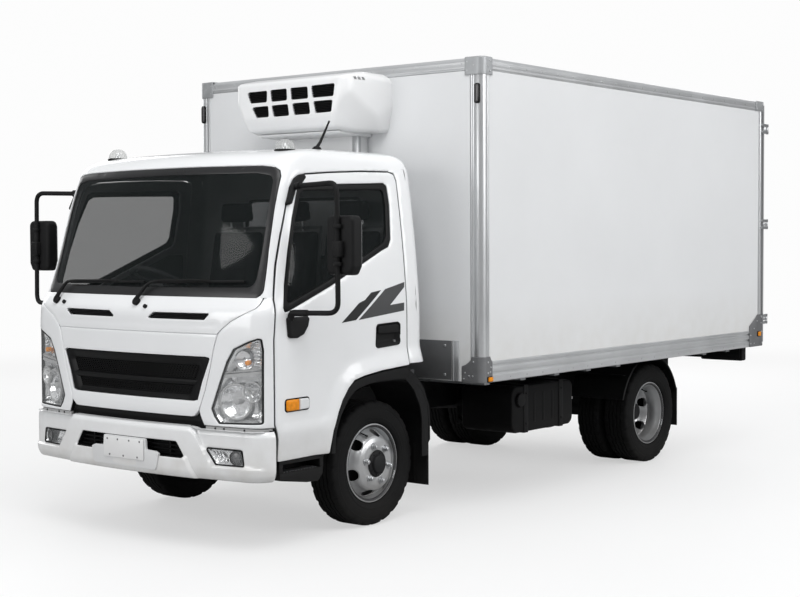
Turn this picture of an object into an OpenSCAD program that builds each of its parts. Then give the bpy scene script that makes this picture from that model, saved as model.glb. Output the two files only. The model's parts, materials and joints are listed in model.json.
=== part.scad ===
// Light forward-control box truck with an insulated body and a nose-mounted cooling unit.
// Millimetres. +X forward, +Y left, +Z up, ground at Z = 0, origin under the middle of the truck.

/* [Running gear] */
// distance between the front and rear axle
wheelbase = 3300; // [2500:10:4500]
// outer radius of every tyre
tyre_r = 382; // [300:1:500]
// width of one tyre at its widest
tyre_w = 212; // [150:1:300]
// radius of the tyre seat on the rim
rim_r = 223; // [180:1:300]
// centre of a front tyre from the middle of the truck
front_tyre_y = 792; // [650:1:900]
// centre of an outer rear tyre from the middle of the truck
rear_tyre_y = 871; // [750:1:950]
// distance between the centres of twin rear tyres
twin_gap = 240; // [220:1:300]
// distance of the steering pivot from the middle of the truck
kingpin_y = 690; // [600:1:720]

/* [Frame] */
// outer face of a frame rail from the middle of the truck
rail_y = 375; // [320:1:430]
// width of a frame rail flange
rail_w = 65; // [50:1:90]
// top of the frame rails behind the cab
rail_top = 770; // [700:1:850]
// depth of a frame rail
rail_h = 200; // [150:1:260]

/* [Cab] */
// wall thickness of the cab panels and doors
cab_t = 45; // [30:1:70]
// rear face of the cab from the front axle
cab_rear_x = -375; // [-500:5:-250]
// height of the cab floor top
floor_z = 935; // [880:5:1000]
// front face of the bumper ahead of the front axle
front_overhang = 1195; // [1000:5:1400]
// half width of the bumper
bumper_hw = 1014; // [900:1:1100]
// gap around each cab door
door_gap = 10; // [6:1:14]

/* [Box body] */
// front face of the box from the front axle
box_front_x = -636; // [-900:1:-500]
// rear face of the box frame from the front axle
box_rear_x = -4704; // [-6000:1:-3500]
// half width of the box
box_hw = 1252; // [1000:1:1275]
// underside of the box
box_z0 = 837; // [780:1:1000]
// top of the box
box_z1 = 2882; // [2500:1:3200]
// thickness of the insulated walls
wall_t = 80; // [40:1:120]
// height of the top rails
top_rail_h = 82; // [50:1:120]
// height of the bottom rails
bottom_rail_h = 135; // [80:1:180]

/* [Rear doors] */
// thickness of a rear door
rear_door_t = 66; // [40:1:100]
// hinge axis behind the outer face of a rear door
hinge_back = 39; // [30:1:60]

/* [Cooling unit] */
// front face of the cooling unit from the front axle
unit_front_x = -204; // [-350:1:-150]
// half width of the cooling unit
unit_hw = 508; // [400:1:700]

/* [Hidden] */
$fn = 64;
door_out_x = box_rear_x - 6 - rear_door_t;
hinge_x = door_out_x - hinge_back;
hinge_y = box_hw - 12;
hinge_r = 10;
fa_x = (-(hinge_x - hinge_r) - front_overhang) / 2;
box_wall_y = box_hw - wall_t;
rail_in = rail_y - rail_w;
axle_z = tyre_r;
pivot_x = 1000;
pivot_z = 560;

// cab sections: height, front on the middle line, half width, front corner radius, bow radius, rear face
CZ = 0; CF = 1; CW = 2; CR = 3; CB = 4; CX = 5;
cab_sections = [
  [ 505, 1160,  985, 150, 5500, cab_rear_x],
  [ 680, 1160, 1003, 150, 5500, cab_rear_x],
  [1200, 1160, 1003, 150, 5500, cab_rear_x],
  [1330, 1153, 1002, 150, 5500, cab_rear_x],
  [1431, 1100,  996, 150, 5200, cab_rear_x],
  [2137,  900,  915, 110, 4000, cab_rear_x],
  [2175,  885,  905, 110, 3800, cab_rear_x + 3],
  [2225,  830,  885, 110, 3500, cab_rear_x + 20],
  [2258,  740,  850, 110, 3000, cab_rear_x + 60],
  [2275,  620,  790, 110, 2500, cab_rear_x + 135]];
cab_rear_r = 90;

// outlines seen from the side (x, z) and from the front (y, z)
door_outline = [[926, 511], [540, 516], [519, 647], [478, 748], [442, 814], [388, 880], [334, 922], [242, 942], [74, 962], [-188, 977], [-188, 2100], [-172, 2142], [-125, 2153], [143, 2147], [418, 2132], [628, 2116], [689, 2103], [733, 2082], [767, 2036], [807, 1940], [864, 1771], [914, 1605], [961, 1413], [981, 1193], [980, 723], [965, 683], [938, 635]];
window_outline = [[902, 1342], [877, 1343], [511, 1472], [16, 1675], [-54, 1698], [-80, 1741], [-102, 1954], [-95, 2069], [-64, 2087], [427, 2067], [678, 2061], [714, 2043], [787, 1867], [842, 1688], [892, 1494], [913, 1367]];
lamp_outline = [[637, 800], [658, 756], [690, 719], [967, 725], [969, 1140], [962, 1198], [946, 1202], [890, 1184], [794, 1142], [746, 1068], [696, 949]];
grille_outline = [[-508, 838], [508, 838], [541, 845], [575, 949], [632, 1085], [600, 1091], [-600, 1091], [-632, 1085], [-575, 949], [-541, 845]];
screen_outline = [[-930, 1424], [930, 1424], [885, 2103], [872, 2138], [839, 2158], [749, 2168], [300, 2172], [-300, 2172], [-749, 2168], [-839, 2158], [-872, 2138], [-885, 2103]];
panel_low = [[-1100, 700], [-579, 700], [-528, 731], [-490, 748], [490, 748], [528, 731], [579, 700], [1100, 700], [1100, 600], [-1100, 600]];
roof_side = [[-500, 2185], [690, 2185], [760, 2166], [1200, 2166], [1200, 2400], [-500, 2400]];
fog_outline = [[601, 584], [677, 488], [872, 490], [856, 582]];

function edge_n(a, b) = let(d = b - a, l = norm(d)) [d[1] / l, -d[0] / l];
function grow(p, g) = let(n = len(p)) [for (i = [0 : n - 1]) let(a = p[(i + n - 1) % n], b = p[i], c = p[(i + 1) % n], n1 = edge_n(a, b), n2 = edge_n(b, c)) b + g * (n1 + n2) / (1 + n1 * n2)];
function flip(p) = [for (i = [len(p) - 1 : -1 : 0]) p[i]];
function mirrored(p) = [for (i = [len(p) - 1 : -1 : 0]) [-p[i][0], p[i][1]]];
door_ccw = flip(door_outline);
window_ccw = flip(window_outline);

module prism_y(p, y0, y1) translate([0, y1, 0]) rotate([90, 0, 0]) linear_extrude(y1 - y0) polygon(p);
module prism_x(p, x0, x1) translate([x0, 0, 0]) rotate([90, 0, 90]) linear_extrude(x1 - x0) polygon(p);
module prism_z(p, z0, z1) translate([0, 0, z0]) linear_extrude(z1 - z0) polygon(p);
module block(x0, x1, y0, y1, z0, z1) translate([x0, y0, z0]) cube([x1 - x0, y1 - y0, z1 - z0]);
module rod_y(r, y0, y1) translate([0, y1, 0]) rotate([90, 0, 0]) cylinder(r = r, h = y1 - y0);
module both() { children(); mirror([0, 1, 0]) children(); }
module side_of(s) { if (s > 0) children(); else mirror([0, 1, 0]) children(); }
module at_axle() translate([fa_x, 0, 0]) children();

// plan outline of a cab section drawn inside the skin by t
function cab_half(s, t) = let(hw = s[CW] - t, r = s[CR] - t, xf = s[CF] - t, yc = hw - r, xb = xf - yc * yc / (2 * s[CB]), rr = cab_rear_r - t, xr = s[CX] + t)
  concat([for (i = [0 : 3]) let(y = yc * i / 3) [xf - y * y / (2 * s[CB]), y]],
    [for (i = [1 : 4]) [xb - r + r * cos(22.5 * i), yc + r * sin(22.5 * i)]],
    [for (i = [0 : 3]) [xr + rr - rr * sin(30 * i), hw - rr + rr * cos(30 * i)]]);
function cab_ring(s, t) = let(h = cab_half(s, t), n = len(h)) concat(h, [for (i = [n - 1 : -1 : 1]) [h[i][0], -h[i][1]]]);
function cab_z(s, t) = s[CZ] - t * max(0, min(1, (s[CZ] - 2137) / 138)) - (s[CZ] < 510 ? t : 0);
module cab_loft(t) {
  m = len(cab_sections);
  n = len(cab_ring(cab_sections[0], t));
  pts = [for (s = cab_sections) for (p = cab_ring(s, t)) [p[0], p[1], cab_z(s, t)]];
  sides = [for (i = [0 : m - 2]) for (j = [0 : n - 1]) let(a = i * n + j, b = i * n + (j + 1) % n, c = a + n, d = b + n) each [[a, c, b], [b, c, d]]];
  polyhedron(points = pts, faces = concat([[for (j = [0 : n - 1]) j]], [[for (j = [n - 1 : -1 : 0]) (m - 1) * n + j]], sides));
}
module cab_skin(t0, t1) difference() { cab_loft(t0); cab_loft(t1); }
module door_openings() both() prism_y(grow(door_ccw, door_gap), 700, 1100);

module frame_rails() color("#1d1e20") both() difference() {
  union() {
    prism_y([[965, 520], [965, 690], [-250, 690], [-520, rail_top], [-4690, rail_top], [-4690, rail_top - rail_h], [-520, rail_top - rail_h], [-250, 520]], rail_in, rail_y);
    translate([pivot_x, 0, pivot_z]) rod_y(36, rail_y - 8, rail_y);
    block(964, pivot_x, rail_y - 8, rail_y, pivot_z - 36, pivot_z + 36);
  }
  translate([pivot_x, 0, pivot_z]) rod_y(16, rail_y - 20, rail_y + 10);
  prism_y([[966, 528], [966, 682], [-252, 682], [-522, rail_top - 8], [-4691, rail_top - 8], [-4691, rail_top - rail_h + 8], [-518, rail_top - rail_h + 8], [-248, 528]], rail_in - 1, rail_y - 8);
}
// cross member tables: position along x, length along x, bottom, top
XP = 0; XL = 1; XB = 2; XT = 3;
cross_table = [[930, 70, 540, 670], [-1040, 80, 670, 755], [-1700, 80, 640, 740], [-2420, 80, 610, 740], [-3300, 90, 690, 760], [-3960, 80, 600, 740]];
module frame_crossmembers() color("#1d1e20") {
  for (c = cross_table) block(c[XP] - c[XL] / 2, c[XP] + c[XL] / 2, -rail_y + 8, rail_y - 8, c[XB], c[XT]);
  difference() {
    block(-4702, -4690, -rail_y, rail_y, rail_top - rail_h, rail_top);
    for (y = [-60, 60]) for (z = [632.5, 687.5]) translate([-4710, y, z]) rotate([0, 90, 0]) cylinder(r = 7.5, h = 30);
  }
}
module front_axle() color("#26272a") difference() {
  union() {
    both() translate([0, kingpin_y, 0]) translate([0, 0, 330]) cylinder(r = 36, h = 104);
    prism_x([[-kingpin_y, 345], [-560, 335], [-440, 300], [440, 300], [560, 335], [kingpin_y, 345], [kingpin_y, 420], [560, 405], [440, 372], [-440, 372], [-560, 405], [-kingpin_y, 420]], -35, 35);
    both() block(-70, 70, 308, 378, 340, 372);
  }
  both() translate([0, kingpin_y, 300]) cylinder(r = 18.5, h = 170);
}
module rear_axle() color("#26272a") translate([-wheelbase, 0, axle_z]) {
  rod_y(62, -585, 585);
  both() rod_y(45, 580, 762);
  sphere(r = 190);
  both() block(-75, 75, 303, 383, 40, 98);
}
// leaf spring table: axle position, half length, eye height, underside at the axle, stack height, hanger top ahead and behind
SX = 0; SL = 1; SE = 2; SU = 3; SH = 4; SA = 5; SB = 6;
spring_table = [[0, 600, 470, 372, 48, 520, 570], [-wheelbase, 650, 525, 480, 62, 570, 570]];
module leaf_springs() color("#202124") both() for (s = spring_table) translate([s[SX], 0, 0]) {
  prism_y([[-s[SL], s[SE]], [-s[SL] * 0.55, s[SU] + 40], [-110, s[SU]], [110, s[SU]], [s[SL] * 0.55, s[SU] + 40], [s[SL], s[SE]], [s[SL], s[SE] + 12], [s[SL] * 0.55, s[SU] + 40 + s[SH] * 0.6], [110, s[SU] + s[SH]], [-110, s[SU] + s[SH]], [-s[SL] * 0.55, s[SU] + 40 + s[SH] * 0.6], [-s[SL], s[SE] + 12]], 310, 375);
  for (q = [-1, 1]) block(q * s[SL] - 28, q * s[SL] + 28, 315, 370, s[SE] - 30, q > 0 ? s[SA] : s[SB]);
}
module engine() color("#34363a") {
  block(-330, 620, -280, 280, 500, 1000);
  prism_y([[-330, 520], [-330, 820], [-560, 760], [-900, 700], [-900, 540], [-560, 520]], -170, 170);
}
module drive_shaft() color("#2c2d30") translate([-905, 0, 615]) rotate([0, -90 - atan2(190, 2200), 0]) cylinder(r = 45, h = 2205);
module fuel_tank() color("#1a1b1d") union() {
  prism_y([[-1410, 450], [-1450, 410], [-2110, 410], [-2150, 450], [-2150, 650], [-2110, 690], [-1450, 690], [-1410, 650]], 520, 950);
  for (x = [-1560, -2000]) block(x - 35, x + 35, rail_y, 560, 560, 600);
  translate([-1500, 950, 640]) rotate([-90, 0, 0]) cylinder(r = 45, h = 22);
}
module battery_box() color("#202124") {
  block(-1780, -1180, -920, -500, 430, 700);
  for (x = [-1650, -1310]) block(x - 30, x + 30, -520, -rail_y, 580, 640);
}
module front_mudguards() color("#141516") both() {
  prism_y([[-190, 884], [-340, 826], [-434, 690], [-448, 520], [-448, 190], [-440, 190], [-440, 522], [-426, 694], [-334, 820], [-188, 876]], 560, 960);
  block(-472, -444, rail_y, 580, 600, 640);
}
module rear_mudguards() color("#141516") both() translate([-wheelbase, 0, 0]) {
  difference() {
    translate([0, 0, axle_z]) rod_y(452, 500, 968);
    translate([0, 0, axle_z]) rod_y(446, 490, 980);
    block(-600, 600, 480, 990, -200, 520);
  }
  block(-452, -440, 500, 968, 240, 540);
  for (x = [-330, 330]) block(x - 16, x + 16, rail_y, 560, 674, 706);
}
module tail_lamps() color("#17181a") both() {
  block(-4680, -4600, 740, 1125, 705, 836);
  block(-4660, -4620, rail_y, 745, 720, 760);
}

module box_floor() color("#8d9092") {
  block(box_rear_x + 75, box_front_x - wall_t, -box_wall_y, box_wall_y, 846, 972);
  both() block(box_rear_x + 80, -760, rail_in, rail_y, rail_top, 846);
  for (x = [-900, -1320, -1740, -2160, -2580, -3960, -4380]) block(x - 30, x + 30, -1100, 1100, 800, 846);
}
module box_side_walls() color("#eef0f1") both() block(box_rear_x + 75, box_front_x - wall_t, box_wall_y, box_hw - 3, box_z0 + bottom_rail_h, box_z1 - top_rail_h);
module box_front_wall() color("#eef0f1") block(box_front_x - wall_t, box_front_x - 3, -box_hw + 94, box_hw - 94, box_z0 + 6, box_z1 - top_rail_h);
module box_roof() color("#e6e8ea") block(box_rear_x + 75, box_front_x - wall_t, -box_wall_y, box_wall_y, box_z1 - top_rail_h + 4, box_z1 - 4);
hinge_heights = [1060, 1860, 2660];
module box_posts() color("#d2d5d8") both() {
  block(box_front_x - wall_t, box_front_x, box_hw - 94, box_hw, box_z0, box_z1);
  block(box_rear_x, box_rear_x + 75, box_wall_y, box_hw, box_z0, box_z1);
  for (z = hinge_heights) for (s = [-1, 1]) translate([0, 0, z + s * 41]) {
    translate([hinge_x, hinge_y, -19]) cylinder(r = hinge_r, h = 38);
    block(hinge_x, box_rear_x + 40, box_hw - 6, box_hw + 4, -19, 19);
  }
}
module box_rails() color("#c9ccd0") {
  both() block(box_rear_x + 75, box_front_x - wall_t, box_wall_y, box_hw, box_z1 - top_rail_h, box_z1);
  both() block(box_rear_x + 75, box_front_x - wall_t, box_wall_y, box_hw, box_z0, box_z0 + bottom_rail_h);
  block(box_front_x - wall_t, box_front_x, -box_hw + 94, box_hw - 94, box_z1 - top_rail_h, box_z1);
  block(box_rear_x, box_rear_x + 75, -box_wall_y, box_wall_y, box_z1 - top_rail_h, box_z1);
  block(box_rear_x, box_rear_x + 75, -box_wall_y, box_wall_y, box_z0, box_z0 + bottom_rail_h);
}
unit_side = [[box_front_x - 3, 2432], [-420, 2432], [-228, 2474], [unit_front_x, 2500], [unit_front_x, 2762], [-226, 2784], [-440, 2822], [box_front_x, 2827], [box_front_x, 2798], [box_front_x - 3, 2798]];
unit_face = [[-380, 2432], [380, 2432], [unit_hw, 2575], [unit_hw, 2800], [unit_hw - 30, 2827], [-unit_hw + 30, 2827], [-unit_hw, 2800], [-unit_hw, 2575]];
unit_plan = [[box_front_x - 3, -unit_hw], [-400, -unit_hw], [unit_front_x, -475], [unit_front_x, 475], [-400, unit_hw], [box_front_x - 3, unit_hw]];
module cooling_unit() color("#f2f3f3") difference() {
  union() {
    intersection() {
      prism_y(unit_side, -unit_hw, unit_hw);
      prism_x(unit_face, box_front_x - 3, unit_front_x);
      prism_z(unit_plan, 2432, 2827);
    }
    block(box_front_x - 3, box_front_x + 102, -330, 330, 1560, 2440);
  }
  for (i = [0 : 3]) {
    block(-240, unit_front_x + 1, -360 + i * 192, -184 + i * 192, 2640, 2730);
    block(-240, unit_front_x + 1, -300 + i * 172, -144 + i * 172, 2548, 2624);
  }
}
module rear_door(s) color("#eef0f1") side_of(s) {
  block(door_out_x, door_out_x + rear_door_t, 4, hinge_y - 4, 862, 2862);
  for (z = hinge_heights) translate([0, 0, z - 20]) {
    translate([hinge_x, hinge_y, 0]) cylinder(r = hinge_r, h = 40);
    prism_z([[hinge_x - 4, hinge_y - 8], [hinge_x + 6, hinge_y + 2], [door_out_x + 1, hinge_y - 10], [door_out_x + 1, hinge_y - 110], [door_out_x - 7, hinge_y - 110], [door_out_x - 8, hinge_y - 34]], 0, 40);
  }
  for (y = [220, 700]) translate([door_out_x - 6, y, 880]) cylinder(r = 12, h = 1960);
}
module rear_door_left() rear_door(1);
module rear_door_right() rear_door(-1);

module cab_floor() color("#3a3c3f") difference() {
  union() {
    prism_z([[-326, -950], [930, -950], [1000, -890], [1000, 890], [930, 950], [-326, 950]], floor_z - 35, floor_z);
    block(-326, 660, -370, 370, floor_z - 35, 1085);
    both() {
      block(978, 1000, rail_y + 10, rail_y + 30, pivot_z, floor_z - 30);
      translate([pivot_x, 0, pivot_z]) rod_y(34, rail_y + 10, rail_y + 30);
      translate([pivot_x, 0, pivot_z]) rod_y(14, rail_y - 14, rail_y + 20);
    }
  }
  block(-400, 640, -345, 345, floor_z - 60, 1060);
}
module cab_roof() color("#f3f4f4") difference() {
  intersection() { cab_skin(0, cab_t); prism_y(roof_side, -1100, 1100); }
  prism_x(screen_outline, 700, 1200);
}
module cab_sides() color("#f3f4f4") difference() {
  intersection() {
    cab_skin(0, cab_t);
    prism_y([[-300, 985], [-120, 985], [-120, 1424], [1200, 1424], [1200, 2166], [760, 2166], [690, 2185], [-300, 2185]], -1100, 1100);
  }
  door_openings();
  prism_x(screen_outline, 600, 1300);
  block(500, 1300, -600, 600, 1424, 2190);
}
module cab_rear_wall() color("#f3f4f4") difference() {
  intersection() { cab_skin(0, cab_t); block(-420, -300, -1100, 1100, 985, 2185); }
  prism_x([[-560, 1620], [560, 1620], [520, 2020], [-520, 2020]], -420, -290);
}
module front_panel() color("#f3f4f4") difference() {
  intersection() { cab_skin(0, cab_t); block(905, 1200, -1100, 1100, 690, 1424); }
  door_openings();
  both() prism_x(lamp_outline, 900, 1200);
  prism_x(grille_outline, 1000, 1200);
  prism_x(panel_low, 900, 1200);
}
module cab_glass() color("#22282c") {
  intersection() { cab_skin(10, 17); prism_x(screen_outline, 700, 1200); }
  intersection() { cab_skin(10, 17); prism_x([[-560, 1620], [560, 1620], [520, 2020], [-520, 2020]], -420, -300); }
}
module grille() color("#121314") intersection() { cab_skin(14, 40); prism_x(grille_outline, 1000, 1200); }
module headlamps() color("#cfd6da") intersection() { cab_skin(4, 42); both() prism_x(lamp_outline, 996, 1200); }
// plan outline of the bumper drawn inside its skin by t
bumper_bow = 5066;
function bumper_half(t) = let(hw = bumper_hw - t, r = 160 - t, xf = front_overhang - t, yc = hw - r, xb = xf - yc * yc / (2 * bumper_bow))
  concat([for (i = [0 : 5]) let(y = yc * i / 5) [xf - y * y / (2 * bumper_bow), y]], [for (i = [1 : 6]) [xb - r + r * cos(15 * i), yc + r * sin(15 * i)]], [[900 - t, hw]]);
function bumper_plan(t) = let(h = bumper_half(t), n = len(h)) concat(h, [for (i = [n - 1 : -1 : 1]) [h[i][0], -h[i][1]]]);
module bumper() color("#f1f2f2") { bumper_skin(); bumper_brackets(); }
module bumper_skin() difference() {
  prism_z(bumper_plan(0), 402, 700);
  prism_z(bumper_plan(16), 390, 684);
  prism_z([[880, -960], [1080, -960], [1150, -560], [1150, 560], [1080, 960], [880, 960]], 600, 720);
  prism_y([[800, 395], [952, 395], [944, 420], [944, 507], [956, 635], [976, 676], [988, 690], [988, 720], [800, 720]], -1100, 1100);
  prism_x([[-446, 507], [446, 507], [411, 607], [-411, 607]], 1000, 1250);
  both() prism_x(fog_outline, 1000, 1250);
  both() prism_x([[520, 690], [560, 684], [1100, 684], [1100, 730], [520, 730]], 880, 1250);
}
module bumper_brackets() both() {
  block(968, 996, 570, 630, 630, floor_z - 35);
  block(968, 1150, 570, 630, 625, 655);
}
module fog_lamps() color("#191a1c") both() intersection() {
  difference() { prism_z(bumper_plan(5), 440, 640); prism_z(bumper_plan(40), 430, 650); }
  prism_x(fog_outline, 1000, 1250);
}
module cab_steps() color("#161718") both() difference() {
  union() { block(568, 922, 800, 972, 396, 506); block(568, 596, 780, 940, 500, floor_z - 35); }
  block(600, 900, 860, 990, 440, 490);
}
module arch_liners() color("#151617") both() {
  prism_y([[486, 585], [452, 699], [407, 765], [352, 824], [261, 869], [122, 888], [-21, 889], [-148, 885], [-148, 893], [-21, 898], [122, 897], [264, 878], [358, 832], [414, 771], [460, 702], [494, 587]], 560, 950);
  block(-20, 20, 560, 940, 893, floor_z - 35);
}
module dashboard() color("#2b2d30") difference() {
  union() {
    prism_y([[1010, 1120], [1040, 1200], [1040, 1330], [990, 1385], [860, 1400], [790, 1360], [770, 1260], [820, 1130]], -850, 850);
    translate([480, -470, 1470]) rotate([0, -30, 0]) translate([0, 0, -480]) cylinder(r = 36, h = 425);
    block(640, 860, -520, -420, 1080, 1200);
    for (y = [-700, 700]) block(900, 960, y - 40, y + 40, floor_z, 1140);
  }
  translate([480, -470, 1470]) rotate([0, -30, 0]) translate([0, 0, -180]) cylinder(r = 13, h = 140);
}
// seat table: middle along y, width, foot height, foot span along y
TY = 0; TW = 1; TF = 2; TA = 3; TB = 4;
seat_table = [[-470, 480, floor_z, -690, -380], [70, 380, 1085, -80, 220], [545, 480, floor_z, 390, 760]];
module seats() color("#3c4045") for (s = seat_table) {
  prism_y([[-240, 1130], [300, 1130], [340, 1190], [318, 1285], [-70, 1262], [-180, 1830], [-160, 1850], [-176, 2005], [-250, 2008], [-285, 1840], [-232, 1240]], s[TY] - s[TW] / 2, s[TY] + s[TW] / 2);
  block(-180, 240, s[TA], s[TB], s[TF], 1135);
}
module roof_beacons() color("#dfe4e6") both() difference() {
  translate([599, 729, 2232]) {
    cylinder(r = 62, h = 48);
    intersection() { translate([0, 0, 44]) sphere(r = 58); translate([0, 0, 44]) cylinder(r = 60, h = 70); }
  }
  cab_loft(0);
}
module cab_door(s) color("#f3f4f4") side_of(s) difference() {
  intersection() { cab_skin(0, cab_t); prism_y(door_ccw, 700, 1100); }
  prism_y(window_ccw, 700, 1100);
}
module cab_door_glass(s) color("#20262a") side_of(s) intersection() { cab_skin(12, 18); prism_y(window_ccw, 700, 1100); }
module door_mirror(s) color("#17181a") side_of(s) {
  translate([805, 1307, 1346]) cylinder(r = 11, h = 690);
  prism_z([[796, 1306], [814, 1308], [752, 929], [734, 929]], 2014, 2034);
  prism_z([[796, 1308], [814, 1310], [896, 1008], [862, 1008]], 1330, 1350);
  prism_y([[872, 1200], [800, 1200], [745, 1240], [720, 1300], [850, 1350], [896, 1350], [896, 1310]], 1003, 1022);
  prism_z([[706, 1212], [770, 1206], [790, 1235], [790, 1375], [770, 1404], [706, 1398]], 1557, 1860);
  for (z = [1600, 1800]) block(785, 806, 1290, 1324, z, z + 30);
}
module left_door() cab_door(1);
module right_door() cab_door(-1);
module left_door_glass() cab_door_glass(1);
module right_door_glass() cab_door_glass(-1);
module left_mirror() door_mirror(1);
module right_mirror() door_mirror(-1);
module steering_wheel() color("#1b1c1e") translate([480, -470, 1470]) rotate([0, -30, 0]) {
  rotate_extrude() translate([200, 0]) circle(r = 16);
  for (a = [90, 210, 330]) rotate([0, 0, a]) translate([0, -18, -22]) cube([192, 36, 16]);
  translate([0, 0, -48]) cylinder(r = 62, h = 50);
  translate([0, 0, -150]) cylinder(r = 11, h = 110);
}

module knuckle(s) color("#2a2b2e") side_of(s) translate([0, kingpin_y, 0]) {
  translate([0, 0, 300]) cylinder(r = 17, h = 164);
  for (z = [298, 440]) translate([0, 0, z]) { cylinder(r = 30, h = 26); block(-28, 28, 0, 66, 0, 26); }
  block(-32, 32, 44, 70, 298, 466);
  translate([0, 0, axle_z]) rod_y(30, 60, 196);
}
module left_knuckle() knuckle(1);
module right_knuckle() knuckle(-1);
// tyre section (radius, offset across the tyre)
tyre_section = [[rim_r, -76], [240, -79], [262, -100], [302, -tyre_w / 2], [342, -103], [366, -97], [377, -88], [tyre_r, -70], [tyre_r, 70], [377, 88], [366, 97], [342, 103], [302, tyre_w / 2], [262, 100], [240, 79], [rim_r, 76]];
module tyre() rotate([-90, 0, 0]) rotate_extrude($fn = 96) polygon(tyre_section);
// rim and disc section (radius, offset across the wheel)
rim_section = [[rim_r, -76], [238, -79.2], [239, -85], [226, -86], [212, -74], [200, -40], [188, 36], [166, 82], [152, 110], [82, 112], [82, 124], [158, 124], [178, 92], [202, 50], [212, 62], [226, 86], [239, 85], [238, 79.2], [rim_r, 76]];
module rim() rotate([-90, 0, 0]) difference() {
  rotate_extrude($fn = 96) polygon(rim_section);
  for (a = [0 : 60 : 300]) rotate([0, 0, a]) translate([190, 0, 0]) cylinder(r = 28, h = 140);
}
module front_rim(s) color("#c7cacd") side_of(s) translate([0, front_tyre_y, axle_z]) difference() {
  union() { rim(); rod_y(84, 0, 130); rod_y(58, 128, 152); }
  rod_y(33, -10, 104);
}
module front_tyre(s) color("#1b1b1c") side_of(s) translate([0, front_tyre_y, axle_z]) tyre();
module twin_rims(s) color("#c7cacd") side_of(s) translate([-wheelbase, 0, axle_z]) difference() {
  union() {
    translate([0, rear_tyre_y, 0]) mirror([0, 1, 0]) rim();
    translate([0, rear_tyre_y - twin_gap, 0]) rim();
    rod_y(90, 615, 850);
  }
  rod_y(49, 590, 768);
}
module twin_tyres(s) color("#1b1b1c") side_of(s) translate([-wheelbase, 0, axle_z]) for (y = [rear_tyre_y, rear_tyre_y - twin_gap]) translate([0, y, 0]) tyre();
module front_left_rim() front_rim(1);
module front_right_rim() front_rim(-1);
module front_left_tyre() front_tyre(1);
module front_right_tyre() front_tyre(-1);
module rear_left_rims() twin_rims(1);
module rear_right_rims() twin_rims(-1);
module rear_left_tyres() twin_tyres(1);
module rear_right_tyres() twin_tyres(-1);

at_axle() frame_rails();
at_axle() frame_crossmembers();
at_axle() front_axle();
at_axle() rear_axle();
at_axle() leaf_springs();
at_axle() engine();
at_axle() drive_shaft();
at_axle() fuel_tank();
at_axle() battery_box();
at_axle() front_mudguards();
at_axle() rear_mudguards();
at_axle() tail_lamps();
at_axle() box_floor();
at_axle() box_side_walls();
at_axle() box_front_wall();
at_axle() box_roof();
at_axle() box_posts();
at_axle() box_rails();
at_axle() cooling_unit();
at_axle() rear_door_left();
at_axle() rear_door_right();
at_axle() cab_floor();
at_axle() cab_roof();
at_axle() cab_sides();
at_axle() cab_rear_wall();
at_axle() front_panel();
at_axle() cab_glass();
at_axle() grille();
at_axle() headlamps();
at_axle() bumper();
at_axle() fog_lamps();
at_axle() cab_steps();
at_axle() arch_liners();
at_axle() dashboard();
at_axle() seats();
at_axle() roof_beacons();
at_axle() left_door();
at_axle() left_door_glass();
at_axle() left_mirror();
at_axle() right_door();
at_axle() right_door_glass();
at_axle() right_mirror();
at_axle() steering_wheel();
at_axle() left_knuckle();
at_axle() right_knuckle();
at_axle() front_left_rim();
at_axle() front_left_tyre();
at_axle() front_right_rim();
at_axle() front_right_tyre();
at_axle() rear_left_rims();
at_axle() rear_left_tyres();
at_axle() rear_right_rims();
at_axle() rear_right_tyres();
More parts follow.
